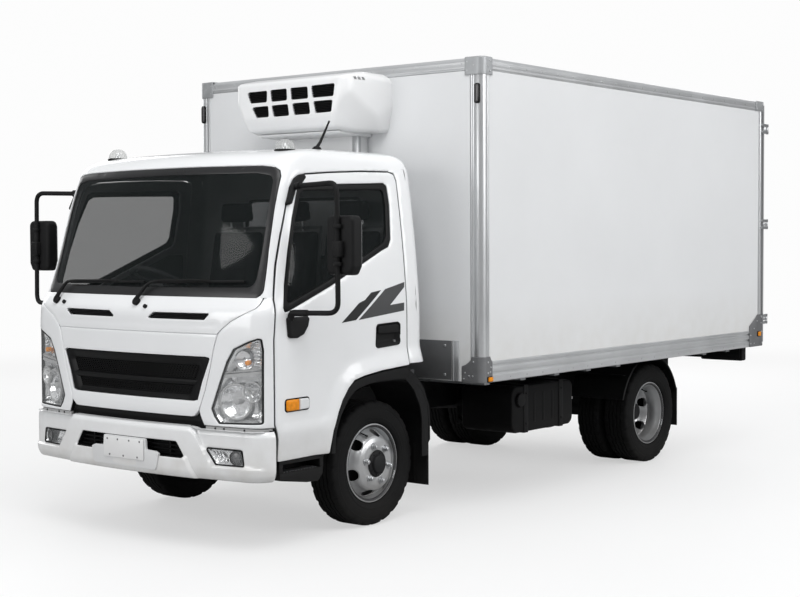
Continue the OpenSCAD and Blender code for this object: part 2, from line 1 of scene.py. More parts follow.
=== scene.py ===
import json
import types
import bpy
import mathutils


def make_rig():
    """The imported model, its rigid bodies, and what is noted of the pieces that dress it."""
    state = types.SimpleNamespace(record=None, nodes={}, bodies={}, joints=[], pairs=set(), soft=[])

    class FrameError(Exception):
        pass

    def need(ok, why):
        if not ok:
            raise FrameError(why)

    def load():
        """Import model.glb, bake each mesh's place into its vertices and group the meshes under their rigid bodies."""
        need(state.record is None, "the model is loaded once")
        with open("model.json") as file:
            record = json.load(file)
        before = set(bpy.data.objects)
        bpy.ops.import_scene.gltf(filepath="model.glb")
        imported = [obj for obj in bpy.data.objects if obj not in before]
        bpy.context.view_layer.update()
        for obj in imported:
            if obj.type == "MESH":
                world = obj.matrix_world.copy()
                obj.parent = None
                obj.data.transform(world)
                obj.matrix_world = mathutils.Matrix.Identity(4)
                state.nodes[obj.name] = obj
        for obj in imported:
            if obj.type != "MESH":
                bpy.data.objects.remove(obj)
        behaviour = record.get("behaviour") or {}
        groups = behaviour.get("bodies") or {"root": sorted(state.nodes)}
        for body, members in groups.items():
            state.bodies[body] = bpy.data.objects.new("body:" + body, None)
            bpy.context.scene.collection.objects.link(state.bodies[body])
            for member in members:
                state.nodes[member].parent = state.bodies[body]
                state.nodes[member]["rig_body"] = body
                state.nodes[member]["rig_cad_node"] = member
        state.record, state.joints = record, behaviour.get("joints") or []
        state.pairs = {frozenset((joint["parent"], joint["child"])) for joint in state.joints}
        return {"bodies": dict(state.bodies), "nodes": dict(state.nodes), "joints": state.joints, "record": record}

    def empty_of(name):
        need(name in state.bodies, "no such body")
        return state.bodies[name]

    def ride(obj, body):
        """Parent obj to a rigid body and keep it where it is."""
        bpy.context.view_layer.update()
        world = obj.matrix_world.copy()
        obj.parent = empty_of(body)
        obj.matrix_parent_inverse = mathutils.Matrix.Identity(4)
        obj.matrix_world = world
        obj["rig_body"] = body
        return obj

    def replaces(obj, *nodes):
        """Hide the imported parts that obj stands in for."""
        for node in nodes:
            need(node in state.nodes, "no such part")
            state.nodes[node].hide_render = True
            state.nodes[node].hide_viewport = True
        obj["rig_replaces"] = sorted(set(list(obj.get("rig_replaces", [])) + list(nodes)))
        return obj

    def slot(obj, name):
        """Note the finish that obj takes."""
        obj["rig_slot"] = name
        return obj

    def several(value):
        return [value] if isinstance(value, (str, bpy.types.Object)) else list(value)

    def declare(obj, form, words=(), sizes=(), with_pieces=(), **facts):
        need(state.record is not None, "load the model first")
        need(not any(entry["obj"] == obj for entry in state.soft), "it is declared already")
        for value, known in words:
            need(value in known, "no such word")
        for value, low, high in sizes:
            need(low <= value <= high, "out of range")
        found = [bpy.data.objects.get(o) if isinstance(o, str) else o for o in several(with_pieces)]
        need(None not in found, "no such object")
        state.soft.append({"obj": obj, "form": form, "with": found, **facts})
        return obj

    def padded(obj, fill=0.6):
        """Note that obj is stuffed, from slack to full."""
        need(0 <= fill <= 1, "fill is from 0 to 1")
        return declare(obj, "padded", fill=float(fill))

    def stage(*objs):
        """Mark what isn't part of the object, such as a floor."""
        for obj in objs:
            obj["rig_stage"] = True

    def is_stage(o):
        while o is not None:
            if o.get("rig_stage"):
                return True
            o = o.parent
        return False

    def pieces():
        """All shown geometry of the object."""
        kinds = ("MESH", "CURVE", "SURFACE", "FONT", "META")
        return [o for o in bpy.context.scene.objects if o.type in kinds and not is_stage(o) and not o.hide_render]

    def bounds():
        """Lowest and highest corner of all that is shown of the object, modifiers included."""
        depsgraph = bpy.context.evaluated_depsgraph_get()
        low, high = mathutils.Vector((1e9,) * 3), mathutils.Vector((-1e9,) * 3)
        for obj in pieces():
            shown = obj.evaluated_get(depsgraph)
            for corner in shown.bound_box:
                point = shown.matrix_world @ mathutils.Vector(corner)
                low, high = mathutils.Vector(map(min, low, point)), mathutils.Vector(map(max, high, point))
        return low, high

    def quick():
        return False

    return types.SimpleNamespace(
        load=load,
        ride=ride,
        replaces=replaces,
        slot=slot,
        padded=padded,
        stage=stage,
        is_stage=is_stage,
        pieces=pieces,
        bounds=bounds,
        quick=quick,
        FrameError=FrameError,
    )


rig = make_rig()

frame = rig.load()

import bpy, bmesh, math, json
import numpy as np
from mathutils import Vector, Matrix
from mathutils.geometry import delaunay_2d_cdt

CAD_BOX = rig.bounds()
FA = 1.815          # front axle in the row frame, metres
SC = bpy.context.scene


def W(p):
    """mm from the front axle -> metres in the row frame"""
    p = np.asarray(p, float)
    q = p / 1000.0
    q[..., 0] += FA
    return q


# ------------------------------------------------------------------ materials
MATS = {}


def nodes_of(m):
    m.use_nodes = True
    return m.node_tree.nodes, m.node_tree.links


def make_mat(name, base, rough=0.5, metal=0.0, coat=0.0, coat_rough=0.05, var=0.06, var_scale=3.0, fine=120.0, bump=0.04, bump_dist=0.001,
             rough_var=0.08, dirt=None, dirt_z=None, ior=None, sheen=0.0, alpha=None, transmission=0.0, emission=None, wave=None, voronoi=None, streak=None, spec=None):
    m = bpy.data.materials.new(name)
    N, L = nodes_of(m)
    b = N["Principled BSDF"]
    tc = N.new("ShaderNodeTexCoord")
    n1 = N.new("ShaderNodeTexNoise"); n1.inputs["Scale"].default_value = var_scale; n1.inputs["Detail"].default_value = 6; n1.inputs["Roughness"].default_value = 0.6
    L.new(tc.outputs["Object"], n1.inputs["Vector"])
    ramp = N.new("ShaderNodeValToRGB")
    c0 = [max(0, c * (1 - var)) for c in base]; c1 = [min(1, c * (1 + var * 0.5)) for c in base]
    ramp.color_ramp.elements[0].position = 0.3; ramp.color_ramp.elements[0].color = (*c0, 1)
    ramp.color_ramp.elements[1].position = 0.7; ramp.color_ramp.elements[1].color = (*c1, 1)
    L.new(n1.outputs["Fac"], ramp.inputs["Fac"])
    col = ramp.outputs["Color"]
    n2 = N.new("ShaderNodeTexNoise"); n2.inputs["Scale"].default_value = fine; n2.inputs["Detail"].default_value = 3
    L.new(tc.outputs["Object"], n2.inputs["Vector"])
    height = n2.outputs["Fac"]
    if streak:
        mp = N.new("ShaderNodeMapping"); mp.inputs["Scale"].default_value = streak
        L.new(tc.outputs["Object"], mp.inputs["Vector"])
        L.new(mp.outputs["Vector"], n2.inputs["Vector"])
    if dirt is not None:
        sx = N.new("ShaderNodeSeparateXYZ"); L.new(tc.outputs["Object"], sx.inputs["Vector"])
        mr = N.new("ShaderNodeMapRange"); mr.inputs["From Min"].default_value = dirt_z[0]; mr.inputs["From Max"].default_value = dirt_z[1]; mr.inputs["To Min"].default_value = 1.0; mr.inputs["To Max"].default_value = 0.0
        L.new(sx.outputs["Z"], mr.inputs["Value"])
        n3 = N.new("ShaderNodeTexNoise"); n3.inputs["Scale"].default_value = 9.0; n3.inputs["Detail"].default_value = 8
        L.new(tc.outputs["Object"], n3.inputs["Vector"])
        mu = N.new("ShaderNodeMath"); mu.operation = "MULTIPLY"; L.new(mr.outputs["Result"], mu.inputs[0]); L.new(n3.outputs["Fac"], mu.inputs[1])
        mx = N.new("ShaderNodeMix"); mx.data_type = "RGBA"
        L.new(mu.outputs["Value"], mx.inputs["Factor"]); L.new(col, mx.inputs["A"]); mx.inputs["B"].default_value = (*dirt, 1)
        col = mx.outputs["Result"]
    if wave:
        wv = N.new("ShaderNodeTexWave"); wv.wave_type = "BANDS"; wv.bands_direction = wave[0]; wv.inputs["Scale"].default_value = wave[1]; wv.inputs["Distortion"].default_value = 0.0
        L.new(tc.outputs["Object"], wv.inputs["Vector"])
        ad = N.new("ShaderNodeMath"); ad.operation = "ADD"; L.new(height, ad.inputs[0]); L.new(wv.outputs["Fac"], ad.inputs[1]); height = ad.outputs["Value"]
    if voronoi:
        vo = N.new("ShaderNodeTexVoronoi"); vo.inputs["Scale"].default_value = voronoi
        L.new(tc.outputs["Object"], vo.inputs["Vector"])
        ad = N.new("ShaderNodeMath"); ad.operation = "ADD"; L.new(height, ad.inputs[0]); L.new(vo.outputs["Distance"], ad.inputs[1]); height = ad.outputs["Value"]
    L.new(col, b.inputs["Base Color"])
    rr = N.new("ShaderNodeMapRange"); rr.inputs["To Min"].default_value = max(0.02, rough - rough_var); rr.inputs["To Max"].default_value = min(1, rough + rough_var)
    L.new(n1.outputs["Fac"], rr.inputs["Value"]); L.new(rr.outputs["Result"], b.inputs["Roughness"])
    if bump > 0:
        bp = N.new("ShaderNodeBump"); bp.inputs["Strength"].default_value = bump; bp.inputs["Distance"].default_value = bump_dist
        L.new(height, bp.inputs["Height"]); L.new(bp.outputs["Normal"], b.inputs["Normal"])
    b.inputs["Metallic"].default_value = metal
    if coat:
        b.inputs["Coat Weight"].default_value = coat; b.inputs["Coat Roughness"].default_value = coat_rough
    if ior: b.inputs["IOR"].default_value = ior
    if spec is not None: b.inputs["Specular IOR Level"].default_value = spec
    if sheen:
        b.inputs["Sheen Weight"].default_value = sheen; b.inputs["Sheen Roughness"].default_value = 0.5
    if transmission: b.inputs["Transmission Weight"].default_value = transmission
    if alpha is not None: b.inputs["Alpha"].default_value = alpha
    if emission:
        b.inputs["Emission Color"].default_value = (*emission[0], 1); b.inputs["Emission Strength"].default_value = emission[1]
    MATS[name] = m
    return m


WHITE = make_mat("cab_white_paint", (0.80, 0.81, 0.82), 0.30, coat=0.7, coat_rough=0.06, var=0.02, fine=260, bump=0.02, bump_dist=0.0004, rough_var=0.05, dirt=(0.52, 0.50, 0.47), dirt_z=(0.38, 0.75))
BOXW = make_mat("body_white_laminate", (0.76, 0.77, 0.78), 0.38, coat=0.25, coat_rough=0.2, var=0.025, var_scale=1.3, fine=60, bump=0.05, bump_dist=0.0008, dirt=(0.62, 0.61, 0.58), dirt_z=(0.84, 1.35))
UNITW = make_mat("unit_white_moulding", (0.82, 0.825, 0.83), 0.36, coat=0.3, coat_rough=0.15, var=0.02, fine=300, bump=0.04, bump_dist=0.0004)
ALU = make_mat("rail_aluminium", (0.66, 0.67, 0.68), 0.36, metal=0.75, var=0.08, var_scale=2.5, fine=40, streak=(0.6, 30, 30), bump=0.06, bump_dist=0.0006, rough_var=0.12)
ALUV = make_mat("post_aluminium", (0.62, 0.63, 0.64), 0.34, metal=0.75, var=0.07, var_scale=2.5, fine=40, streak=(30, 30, 0.6), bump=0.06, bump_dist=0.0006, rough_var=0.12)
CASTD = make_mat("cast_grey_corner", (0.17, 0.173, 0.178), 0.5, metal=0.35, var=0.14, var_scale=14, fine=180, bump=0.16, bump_dist=0.001)
CASTA = make_mat("cast_aluminium", (0.40, 0.41, 0.42), 0.48, metal=0.55, var=0.12, var_scale=14, fine=180, bump=0.16, bump_dist=0.001)
SHEET = make_mat("grey_sheet_metal", (0.125, 0.127, 0.13), 0.46, metal=0.4, var=0.15, var_scale=4, fine=90, bump=0.05, bump_dist=0.0006)
STEEL = make_mat("zinc_steel", (0.55, 0.56, 0.57), 0.34, metal=0.9, var=0.15, var_scale=20, fine=200, bump=0.05, bump_dist=0.0004)
BLACKP = make_mat("black_moulded_plastic", (0.0075, 0.0076, 0.008), 0.58, spec=0.18, var=0.25, var_scale=6, fine=420, bump=0.18, bump_dist=0.0007, dirt=(0.016, 0.015, 0.014), dirt_z=(0.1, 0.6))
BLACKG = make_mat("black_gloss_plastic", (0.004, 0.0041, 0.0044), 0.42, spec=0.15, var=0.2, var_scale=6, fine=300, bump=0.05, bump_dist=0.0004)
FRAMEB = make_mat("frame_black_paint", (0.006, 0.0061, 0.0065), 0.52, spec=0.11, var=0.3, var_scale=5, fine=90, bump=0.15, bump_dist=0.001, dirt=(0.018, 0.0165, 0.015), dirt_z=(0.15, 0.6))
RUBBER = make_mat("tyre_rubber", (0.0075, 0.0075, 0.0077), 0.74, var=0.3, var_scale=7, fine=160, bump=0.2, bump_dist=0.001, dirt=(0.018, 0.0168, 0.0155), dirt_z=(0.0, 0.3), spec=0.15)
SEAL = make_mat("seal_rubber", (0.014, 0.014, 0.015), 0.62, var=0.2, var_scale=9, fine=200, bump=0.1, bump_dist=0.0005)
# dark grey skin for the inside of the rim barrel between flange and disc: painted shade for the deep, occluded wheel
# valley
RIM_VALLEY_SHADE = make_mat("rim_brake_dust", (0.060, 0.060, 0.062), 0.5, metal=0.3, var=0.25, var_scale=12, fine=220, bump=0.08, bump_dist=0.0006)
RIM = make_mat("rim_silver_paint", (0.56, 0.57, 0.58), 0.30, metal=0.6, coat=0.3, coat_rough=0.15, var=0.06, var_scale=8, fine=300, bump=0.04, bump_dist=0.0004, dirt=(0.20, 0.18, 0.16), dirt_z=(0.05, 0.6))
LAMPR = make_mat("lamp_reflector_fluted", (0.95, 0.955, 0.96), 0.09, metal=0.92, var=0.04, var_scale=8, fine=40, bump=0.75, bump_dist=0.0035, rough_var=0.03, streak=(1.0, 2.4, 0.45))
CHROME = make_mat("bright_reflector", (0.88, 0.89, 0.90), 0.12, metal=0.55, var=0.05, var_scale=6, fine=50, bump=0.02, bump_dist=0.0005, rough_var=0.04)
GREYP = make_mat("grey_plastic", (0.20, 0.205, 0.21), 0.5, var=0.1, var_scale=8, fine=300, bump=0.12, bump_dist=0.0006)
LGREY = make_mat("light_grey_trim", (0.42, 0.42, 0.42), 0.6, var=0.06, var_scale=8, fine=300, bump=0.12, bump_dist=0.0006)
DASH = make_mat("dash_plastic", (0.05, 0.052, 0.056), 0.6, var=0.2, var_scale=6, fine=500, bump=0.2, bump_dist=0.0006)
FABRIC = make_mat("seat_cloth", (0.034, 0.035, 0.038), 0.88, var=0.2, var_scale=10, fine=600, bump=0.12, bump_dist=0.0008, voronoi=500, spec=0.06)
CAST = make_mat("iron_castings", (0.011, 0.0112, 0.012), 0.58, metal=0.1, spec=0.25, var=0.3, var_scale=8, fine=140, bump=0.25, bump_dist=0.002)
DECALD = make_mat("stripe_dark_grey", (0.020, 0.0204, 0.021), 0.42, spec=0.25, var=0.08, fine=300, bump=0.02, bump_dist=0.0003)
DECALG = make_mat("stripe_mid_grey", (0.062, 0.063, 0.065), 0.42, spec=0.25, var=0.08, fine=300, bump=0.02, bump_dist=0.0003)
FRIT = make_mat("glass_black_border", (0.012, 0.012, 0.013), 0.3, var=0.15, fine=300, bump=0.02, bump_dist=0.0003)
AMBER = make_mat("amber_lens", (0.80, 0.27, 0.006), 0.3, spec=0.25, var=0.22, var_scale=40, fine=140, bump=0.2, bump_dist=0.001, coat=0.15, wave=("X", 60))
RED = make_mat("red_lens", (0.45, 0.012, 0.012), 0.2, var=0.1, var_scale=20, fine=140, bump=0.2, bump_dist=0.001, coat=0.6, wave=("Y", 60))
CLEARL = make_mat("clear_lens_ribbed", (0.72, 0.73, 0.74), 0.16, var=0.06, var_scale=20, fine=120, bump=0.25, bump_dist=0.0015, coat=0.6, wave=("Y", 50))
# the white paint made darker for the plate holder: painted shade that sets the holder off from the bumper
BRACKW_SHADED = make_mat("bracket_white_paint", (0.66, 0.665, 0.67), 0.42, var=0.04, fine=240, bump=0.04, bump_dist=0.0004)
PLATEW = make_mat("blank_plate", (0.76, 0.76, 0.76), 0.42, var=0.03, fine=300, bump=0.03, bump_dist=0.0003)
SMOKE = make_mat("marker_dark_lens", (0.05, 0.048, 0.05), 0.2, var=0.15, fine=200, bump=0.1, bump_dist=0.0006, coat=0.5)
FLOORA = make_mat("load_floor_aluminium", (0.42, 0.43, 0.44), 0.45, metal=0.7, var=0.12, var_scale=3, fine=60, bump=0.3, bump_dist=0.002, wave=("Y", 9))


def make_glass(name, tint, alpha, rough=0.03, spec=0.6):
    m = bpy.data.materials.new(name)
    N, L = nodes_of(m)
    b = N["Principled BSDF"]
    tc = N.new("ShaderNodeTexCoord")
    n1 = N.new("ShaderNodeTexNoise"); n1.inputs["Scale"].default_value = 2.0; n1.inputs["Detail"].default_value = 5
    L.new(tc.outputs["Object"], n1.inputs["Vector"])
    ramp = N.new("ShaderNodeValToRGB")
    ramp.color_ramp.elements[0].color = (*[c * 0.9 for c in tint], 1); ramp.color_ramp.elements[1].color = (*tint, 1)
    L.new(n1.outputs["Fac"], ramp.inputs["Fac"]); L.new(ramp.outputs["Color"], b.inputs["Base Color"])
    rr = N.new("ShaderNodeMapRange"); rr.inputs["To Min"].default_value = rough * 0.5; rr.inputs["To Max"].default_value = rough * 1.6
    L.new(n1.outputs["Fac"], rr.inputs["Value"]); L.new(rr.outputs["Result"], b.inputs["Roughness"])
    b.inputs["Alpha"].default_value = alpha
    b.inputs["IOR"].default_value = 1.5
    b.inputs["Specular IOR Level"].default_value = spec
    m.blend_method = "BLEND" if hasattr(m, "blend_method") else None
    MATS[name] = m
    return m


GLASS = make_glass("windscreen_glass", (0.012, 0.016, 0.016), 0.30, 0.03, 0.34)
DGLASS = make_glass("door_glass_tinted", (0.010, 0.013, 0.013), 0.40, 0.03, 0.30)
LENS = make_glass("headlamp_clear_cover", (0.66, 0.68, 0.69), 0.09)
DOME = make_glass("beacon_clear_dome", (0.62, 0.63, 0.62), 0.45, 0.08)


# ------------------------------------------------------------------ mesh helpers
def add_obj(name, verts, faces, mat, body, sharp=35.0, smooth=True, recalc=True):
    me = bpy.data.meshes.new(name)
    me.from_pydata([tuple(v) for v in verts], [], [tuple(f) for f in faces])
    me.validate()
    if recalc:
        bm = bmesh.new(); bm.from_mesh(me)
        bmesh.ops.remove_doubles(bm, verts=bm.verts, dist=1e-6)
        bmesh.ops.recalc_face_normals(bm, faces=bm.faces)
        bm.to_mesh(me); bm.free()
    for p in me.polygons: p.use_smooth = smooth
    if smooth and sharp is not None:
        me.set_sharp_from_angle(angle=math.radians(sharp))
    o = bpy.data.objects.new(name, me)
    SC.collection.objects.link(o)
    mats = mat if isinstance(mat, (list, tuple)) else [mat]
    for m in mats: me.materials.append(m)
    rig.ride(o, body)
    return o


class Geo:
    """collects closed shapes in mm from the front axle and makes one object of them"""
    def __init__(self):
        self.v = []; self.f = []; self.m = []

    def add(self, verts, faces, mi=0):
        k = len(self.v)
        self.v += [tuple(p) for p in verts]
        self.f += [tuple(i + k for i in f) for f in faces]
        self.m += [mi] * len(faces)
        return self

    def panel(self, pvf, mi=0, mj=None):
        v, a, b = pvf
        k = len(self.v)
        self.v += [tuple(p) for p in v]
        self.f += [tuple(i + k for i in f) for f in a] + [tuple(i + k for i in f) for f in b]
        self.m += [mi] * len(a) + [mi if mj is None else mj] * len(b)
        return self

    def mirror(self):
        k = len(self.v)
        n = len(self.f)
        self.v += [(p[0], -p[1], p[2]) for p in self.v[:k]]
        self.f += [tuple(i + k for i in reversed(f)) for f in self.f[:n]]
        self.m += self.m[:n]
        return self

    def obj(self, name, mats, body, sharp=35.0, replaces=(), slot=None):
        mats = mats if isinstance(mats, (list, tuple)) else [mats]
        me = bpy.data.meshes.new(name)
        me.from_pydata([tuple(W(p)) for p in self.v], [], self.f)
        me.validate()
        for m in mats: me.materials.append(m)
        if len(me.polygons) == len(self.m):
            me.polygons.foreach_set("material_index", self.m)
        bm = bmesh.new(); bm.from_mesh(me)
        bmesh.ops.recalc_face_normals(bm, faces=bm.faces)
        bm.to_mesh(me); bm.free()
        for p in me.polygons: p.use_smooth = True
        me.set_sharp_from_angle(angle=math.radians(sharp))
        o = bpy.data.objects.new(name, me)
        SC.collection.objects.link(o)
        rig.ride(o, body)
        if replaces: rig.replaces(o, *replaces)
        if slot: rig.slot(o, slot)
        return o


def bevelled(verts, faces, r, seg=2, angle=25):
    """verts/faces of a closed solid with its sharp edges rounded"""
    bm = bmesh.new()
    vs = [bm.verts.new(p) for p in verts]
    for f in faces:
        try: bm.faces.new([vs[i] for i in f])
        except ValueError: pass
    bmesh.ops.recalc_face_normals(bm, faces=bm.faces)
    bm.normal_update()
    ed = [e for e in bm.edges if len(e.link_faces) == 2 and e.calc_face_angle(0) > math.radians(angle)]
    if r > 0:
        bmesh.ops.bevel(bm, geom=ed, offset=r, segments=seg, profile=0.5, affect="EDGES", clamp_overlap=True)
    bm.verts.index_update()
    out = [tuple(v.co) for v in bm.verts], [tuple(v.index for v in f.verts) for f in bm.faces]
    bm.free()
    return out


def boxvf(x0, x1, y0, y1, z0, z1):
    v = [(x, y, z) for x in (x0, x1) for y in (y0, y1) for z in (z0, z1)]
    return v, [(0, 1, 3, 2), (4, 6, 7, 5), (0, 4, 5, 1), (2, 3, 7, 6), (0, 2, 6, 4), (1, 5, 7, 3)]


def rbox(x0, x1, y0, y1, z0, z1, r=3, seg=2):
    v, f = boxvf(x0, x1, y0, y1, z0, z1)
    return bevelled(v, f, r, seg)


def prism(pts, axis, a0, a1, r=0, seg=2, angle=25):
    """closed polygon pushed along an axis; pts are the two other coordinates in x, y, z order"""
    n = len(pts)
    def mk(p, a):
        return {"x": (a, p[0], p[1]), "y": (p[0], a, p[1]), "z": (p[0], p[1], a)}[axis]
    v = [mk(p, a0) for p in pts] + [mk(p, a1) for p in pts]
    f = [tuple(range(n)), tuple(range(2 * n - 1, n - 1, -1))] + [(i, i + n, (i + 1) % n + n, (i + 1) % n) for i in range(n)]
    if r > 0: return bevelled(v, f, r, seg, angle)
    return v, f


def rounded(pts, r, n=5):
    """polygon with its corners rounded"""
    pts = [np.array(p, float) for p in pts]
    out = []
    k = len(pts)
    for i in range(k):
        a, b, c = pts[i - 1], pts[i], pts[(i + 1) % k]
        u = a - b; w = c - b
        lu, lw = np.linalg.norm(u), np.linalg.norm(w)
        u /= lu; w /= lw
        cosang = float(np.clip(u @ w, -1, 1)); ang = math.acos(cosang)
        rad = r[i] if isinstance(r, (list, tuple)) else r
        if rad <= 0 or ang > math.radians(172):
            out.append(tuple(b)); continue
        d = min(rad / math.tan(ang / 2), 0.45 * lu, 0.45 * lw)
        rr = d * math.tan(ang / 2)
        p0, p1 = b + u * d, b + w * d
        cen = b + (u + w) / np.linalg.norm(u + w) * (rr / math.sin(ang / 2))
        a0 = math.atan2(*(p0 - cen)[::-1]); a1 = math.atan2(*(p1 - cen)[::-1])
        da = (a1 - a0 + math.pi) % (2 * math.pi) - math.pi
        for j in range(n + 1):
            t = a0 + da * j / n
            out.append((cen[0] + rr * math.cos(t), cen[1] + rr * math.sin(t)))
    return out


def tube(path, r, n=12, cap=True):
    path = [np.array(p, float) for p in path]
    m = len(path)
    tang = []
    for i in range(m):
        t = path[min(i + 1, m - 1)] - path[max(i - 1, 0)]
        tang.append(t / np.linalg.norm(t))
    ref = np.array([0, 0, 1.0]) if abs(tang[0][2]) < 0.9 else np.array([1.0, 0, 0])
    nrm = np.cross(tang[0], ref); nrm /= np.linalg.norm(nrm)
    v, f = [], []
    for i in range(m):
        nrm = nrm - tang[i] * (nrm @ tang[i]); nrm /= np.linalg.norm(nrm)
        bi = np.cross(tang[i], nrm)
        rr = r[i] if isinstance(r, (list, tuple)) else r
        for j in range(n):
            a = 2 * math.pi * j / n
            v.append(tuple(path[i] + rr * (math.cos(a) * nrm + math.sin(a) * bi)))
    for i in range(m - 1):
        for j in range(n):
            f.append((i * n + j, i * n + (j + 1) % n, (i + 1) * n + (j + 1) % n, (i + 1) * n + j))
    if cap:
        f.append(tuple(range(n - 1, -1, -1))); f.append(tuple((m - 1) * n + j for j in range(n)))
    return v, f


def fillet_path(pts, r, n=6):
    """polyline in space with its bends rounded"""
    pts = [np.array(p, float) for p in pts]
    out = [pts[0]]
    for i in range(1, len(pts) - 1):
        a, b, c = pts[i - 1], pts[i], pts[i + 1]
        u = a - b; w = c - b
        lu, lw = np.linalg.norm(u), np.linalg.norm(w)
        d = min(r, 0.45 * lu, 0.45 * lw)
        p0, p1 = b + u / lu * d, b + w / lw * d
        for j in range(n + 1):
            t = j / n
            out.append((1 - t) ** 2 * p0 + 2 * t * (1 - t) * b + t * t * p1)
    out.append(pts[-1])
    return out


def lathe(prof, origin, axis, n=64, closed=True):
    """profile (radius, distance along axis) turned about an axis: 'x', 'y', 'z' or a direction"""
    d = {"x": (1, 0, 0), "y": (0, 1, 0), "z": (0, 0, 1)}.get(axis, axis) if isinstance(axis, str) else axis
    d = np.array(d, float); d /= np.linalg.norm(d)
    ref = np.array([0, 0, 1.0]) if abs(d[2]) < 0.9 else np.array([1.0, 0, 0])
    u = np.cross(ref, d); u /= np.linalg.norm(u); w = np.cross(d, u)
    o = np.array(origin, float)
    v, f = [], []
    m = len(prof)
    for i in range(n):
        a = 2 * math.pi * i / n
        e = math.cos(a) * u + math.sin(a) * w
        for r, h in prof:
            v.append(tuple(o + e * max(r, 0.001) + d * h))
    for i in range(n):
        k = (i + 1) % n
        for j in range(m if closed else m - 1):
            l = (j + 1) % m
            f.append((i * m + j, k * m + j, k * m + l, i * m + l))
    return v, f


def dome(origin, axis, r, h0, h1, n=24, k=6):
    """capped stub: cylinder from h0 to h1 with a rounded end"""
    prof = [(0, h0), (r, h0), (r, h1 - r * 0.35)]
    for j in range(1, k + 1):
        t = j / k * math.pi / 2
        prof.append((r * math.cos(t), h1 - r * 0.35 + r * 0.35 * math.sin(t)))
    return lathe(prof, origin, axis, n)


# ------------------------------------------------------------------ cab surface
SECT = np.array([
    [400, 1160, 976, 150, 5500, -375], [505, 1160, 985, 150, 5500, -375], [672, 1160, 1002, 150, 5500, -375], [690, 1160, 1003, 150, 5500, -375],
    [1200, 1160, 1003, 150, 5500, -375], [1330, 1153, 1002, 150, 5500, -375], [1431, 1100, 996, 150, 5200, -375], [2137, 900, 915, 110, 4000, -375],
    [2175, 885, 905, 110, 3800, -372], [2225, 830, 885, 110, 3500, -355], [2258, 740, 850, 110, 3000, -315], [2275, 620, 790, 110, 2500, -240]], float)
REAR_R = 90.0


def hermite(xs, ys):
    xs = np.asarray(xs, float); ys = np.asarray(ys, float)
    h = np.diff(xs); d = np.diff(ys) / h
    m = np.zeros_like(ys)
    prod = d[:-1] * d[1:]
    m[1:-1] = np.where(prod > 0, 2 * prod / (d[:-1] + d[1:] + np.where(prod > 0, 0, 1)), 0)
    m[0] = d[0]; m[-1] = d[-1]
    def f(x):
        x = np.clip(np.asarray(x, float), xs[0], xs[-1])
        i = np.clip(np.searchsorted(xs, x, side="right") - 1, 0, len(xs) - 2)
        t = (x - xs[i]) / h[i]
        return (2 * t ** 3 - 3 * t ** 2 + 1) * ys[i] + (t ** 3 - 2 * t ** 2 + t) * h[i] * m[i] + (3 * t ** 2 - 2 * t ** 3) * ys[i + 1] + (t ** 3 - t ** 2) * h[i] * m[i + 1]
    return f


SF = [hermite(SECT[:, 0], SECT[:, k]) for k in range(1, 6)]


def sect(z):
    xf, hw, r, Rb, xr = [f(z) for f in SF]
    y1 = hw - r
    for _ in range(4):
        th = np.arctan(y1 / Rb)
        y1 = hw - r + r * np.sin(th)
    th = np.arctan(y1 / Rb)
    xc = xf - y1 ** 2 / (2 * Rb) - r * np.cos(th)
    return xf, hw, r, Rb, xr, y1, th, xc


def cab_xy(s, z):
    s = np.asarray(s, float); z = np.asarray(z, float)
    xf, hw, r, Rb, xr, y1, th, xc = sect(z)
    a = np.abs(s)
    lc = r * (np.pi / 2 - th)
    ls = xc - (xr + REAR_R)
    t = th + (a - y1) / r
    c = a - y1 - lc - ls
    ph = c / REAR_R
    x = np.where(a <= y1, xf - a ** 2 / (2 * Rb), np.where(a <= y1 + lc, xc + r * np.cos(t), np.where(c <= 0, xc - (a - y1 - lc), np.where(ph <= np.pi / 2, xr + REAR_R - REAR_R * np.sin(ph), xr))))
    y = np.where(a <= y1, a, np.where(a <= y1 + lc, hw - r + r * np.sin(t), np.where(c <= 0, hw, np.where(ph <= np.pi / 2, hw - REAR_R + REAR_R * np.cos(ph), hw - REAR_R - (c - REAR_R * np.pi / 2)))))
    return x, np.where(s < 0, -y, y)


def s_of_y(y, z):
    y = np.asarray(y, float); z = np.asarray(z, float)
    xf, hw, r, Rb, xr, y1, th, xc = sect(z)
    a = np.abs(y)
    t = np.arcsin(np.clip((a - (hw - r)) / r, -1, 1))
    return np.sign(y) * np.where(a <= y1, a, y1 + r * (t - th))


def s_of_x(x, z):
    x = np.asarray(x, float); z = np.asarray(z, float)
    xf, hw, r, Rb, xr, y1, th, xc = sect(z)
    t = np.arccos(np.clip((x - xc) / r, -1, 1))
    return np.where(x > xc, y1 + r * (np.maximum(t, th) - th), y1 + r * (np.pi / 2 - th) + (xc - x))


ARCH = np.array([(540, 470), (540, 518), (519, 647), (478, 748), (442, 814), (388, 880), (334, 922), (242, 942), (74, 962), (-188, 977), (-420, 990)], float)


def seg_dist(p, a, b):
    """distance of points p (N,2) to segments a->b (M,2)"""
    d = b - a
    l2 = np.maximum((d ** 2).sum(1), 1e-9)
    out = np.full(len(p), 1e9)
    for k in range(0, len(p), 4000):
        q = p[k:k + 4000]
        t = np.clip(((q[:, None, :] - a[None]) * d[None]).sum(2) / l2[None], 0, 1)
        r = q[:, None, :] - (a[None] + t[..., None] * d[None])
        out[k:k + 4000] = np.sqrt((r ** 2).sum(2).min(1))
    return out


def flare(x, z):
    """swelling of the skin round the wheel arch, and the low crease along the doors"""
    d = seg_dist(np.stack([x, z], 1), ARCH[:-1], ARCH[1:])
    t = np.clip(1 - d / 112.0, 0, 1)
    c = np.where(z > 686, np.clip(1 - (z - 686) / 44.0, 0, 1), np.clip(1 - (686 - z) / 130.0, 0, 1))
    k = np.where(t < 0.15, t * t / 0.3, t - 0.075)
    return 25.0 * k + 10.0 * c * (1 - t) * np.clip((948 - x) / 24.0, 0, 1)


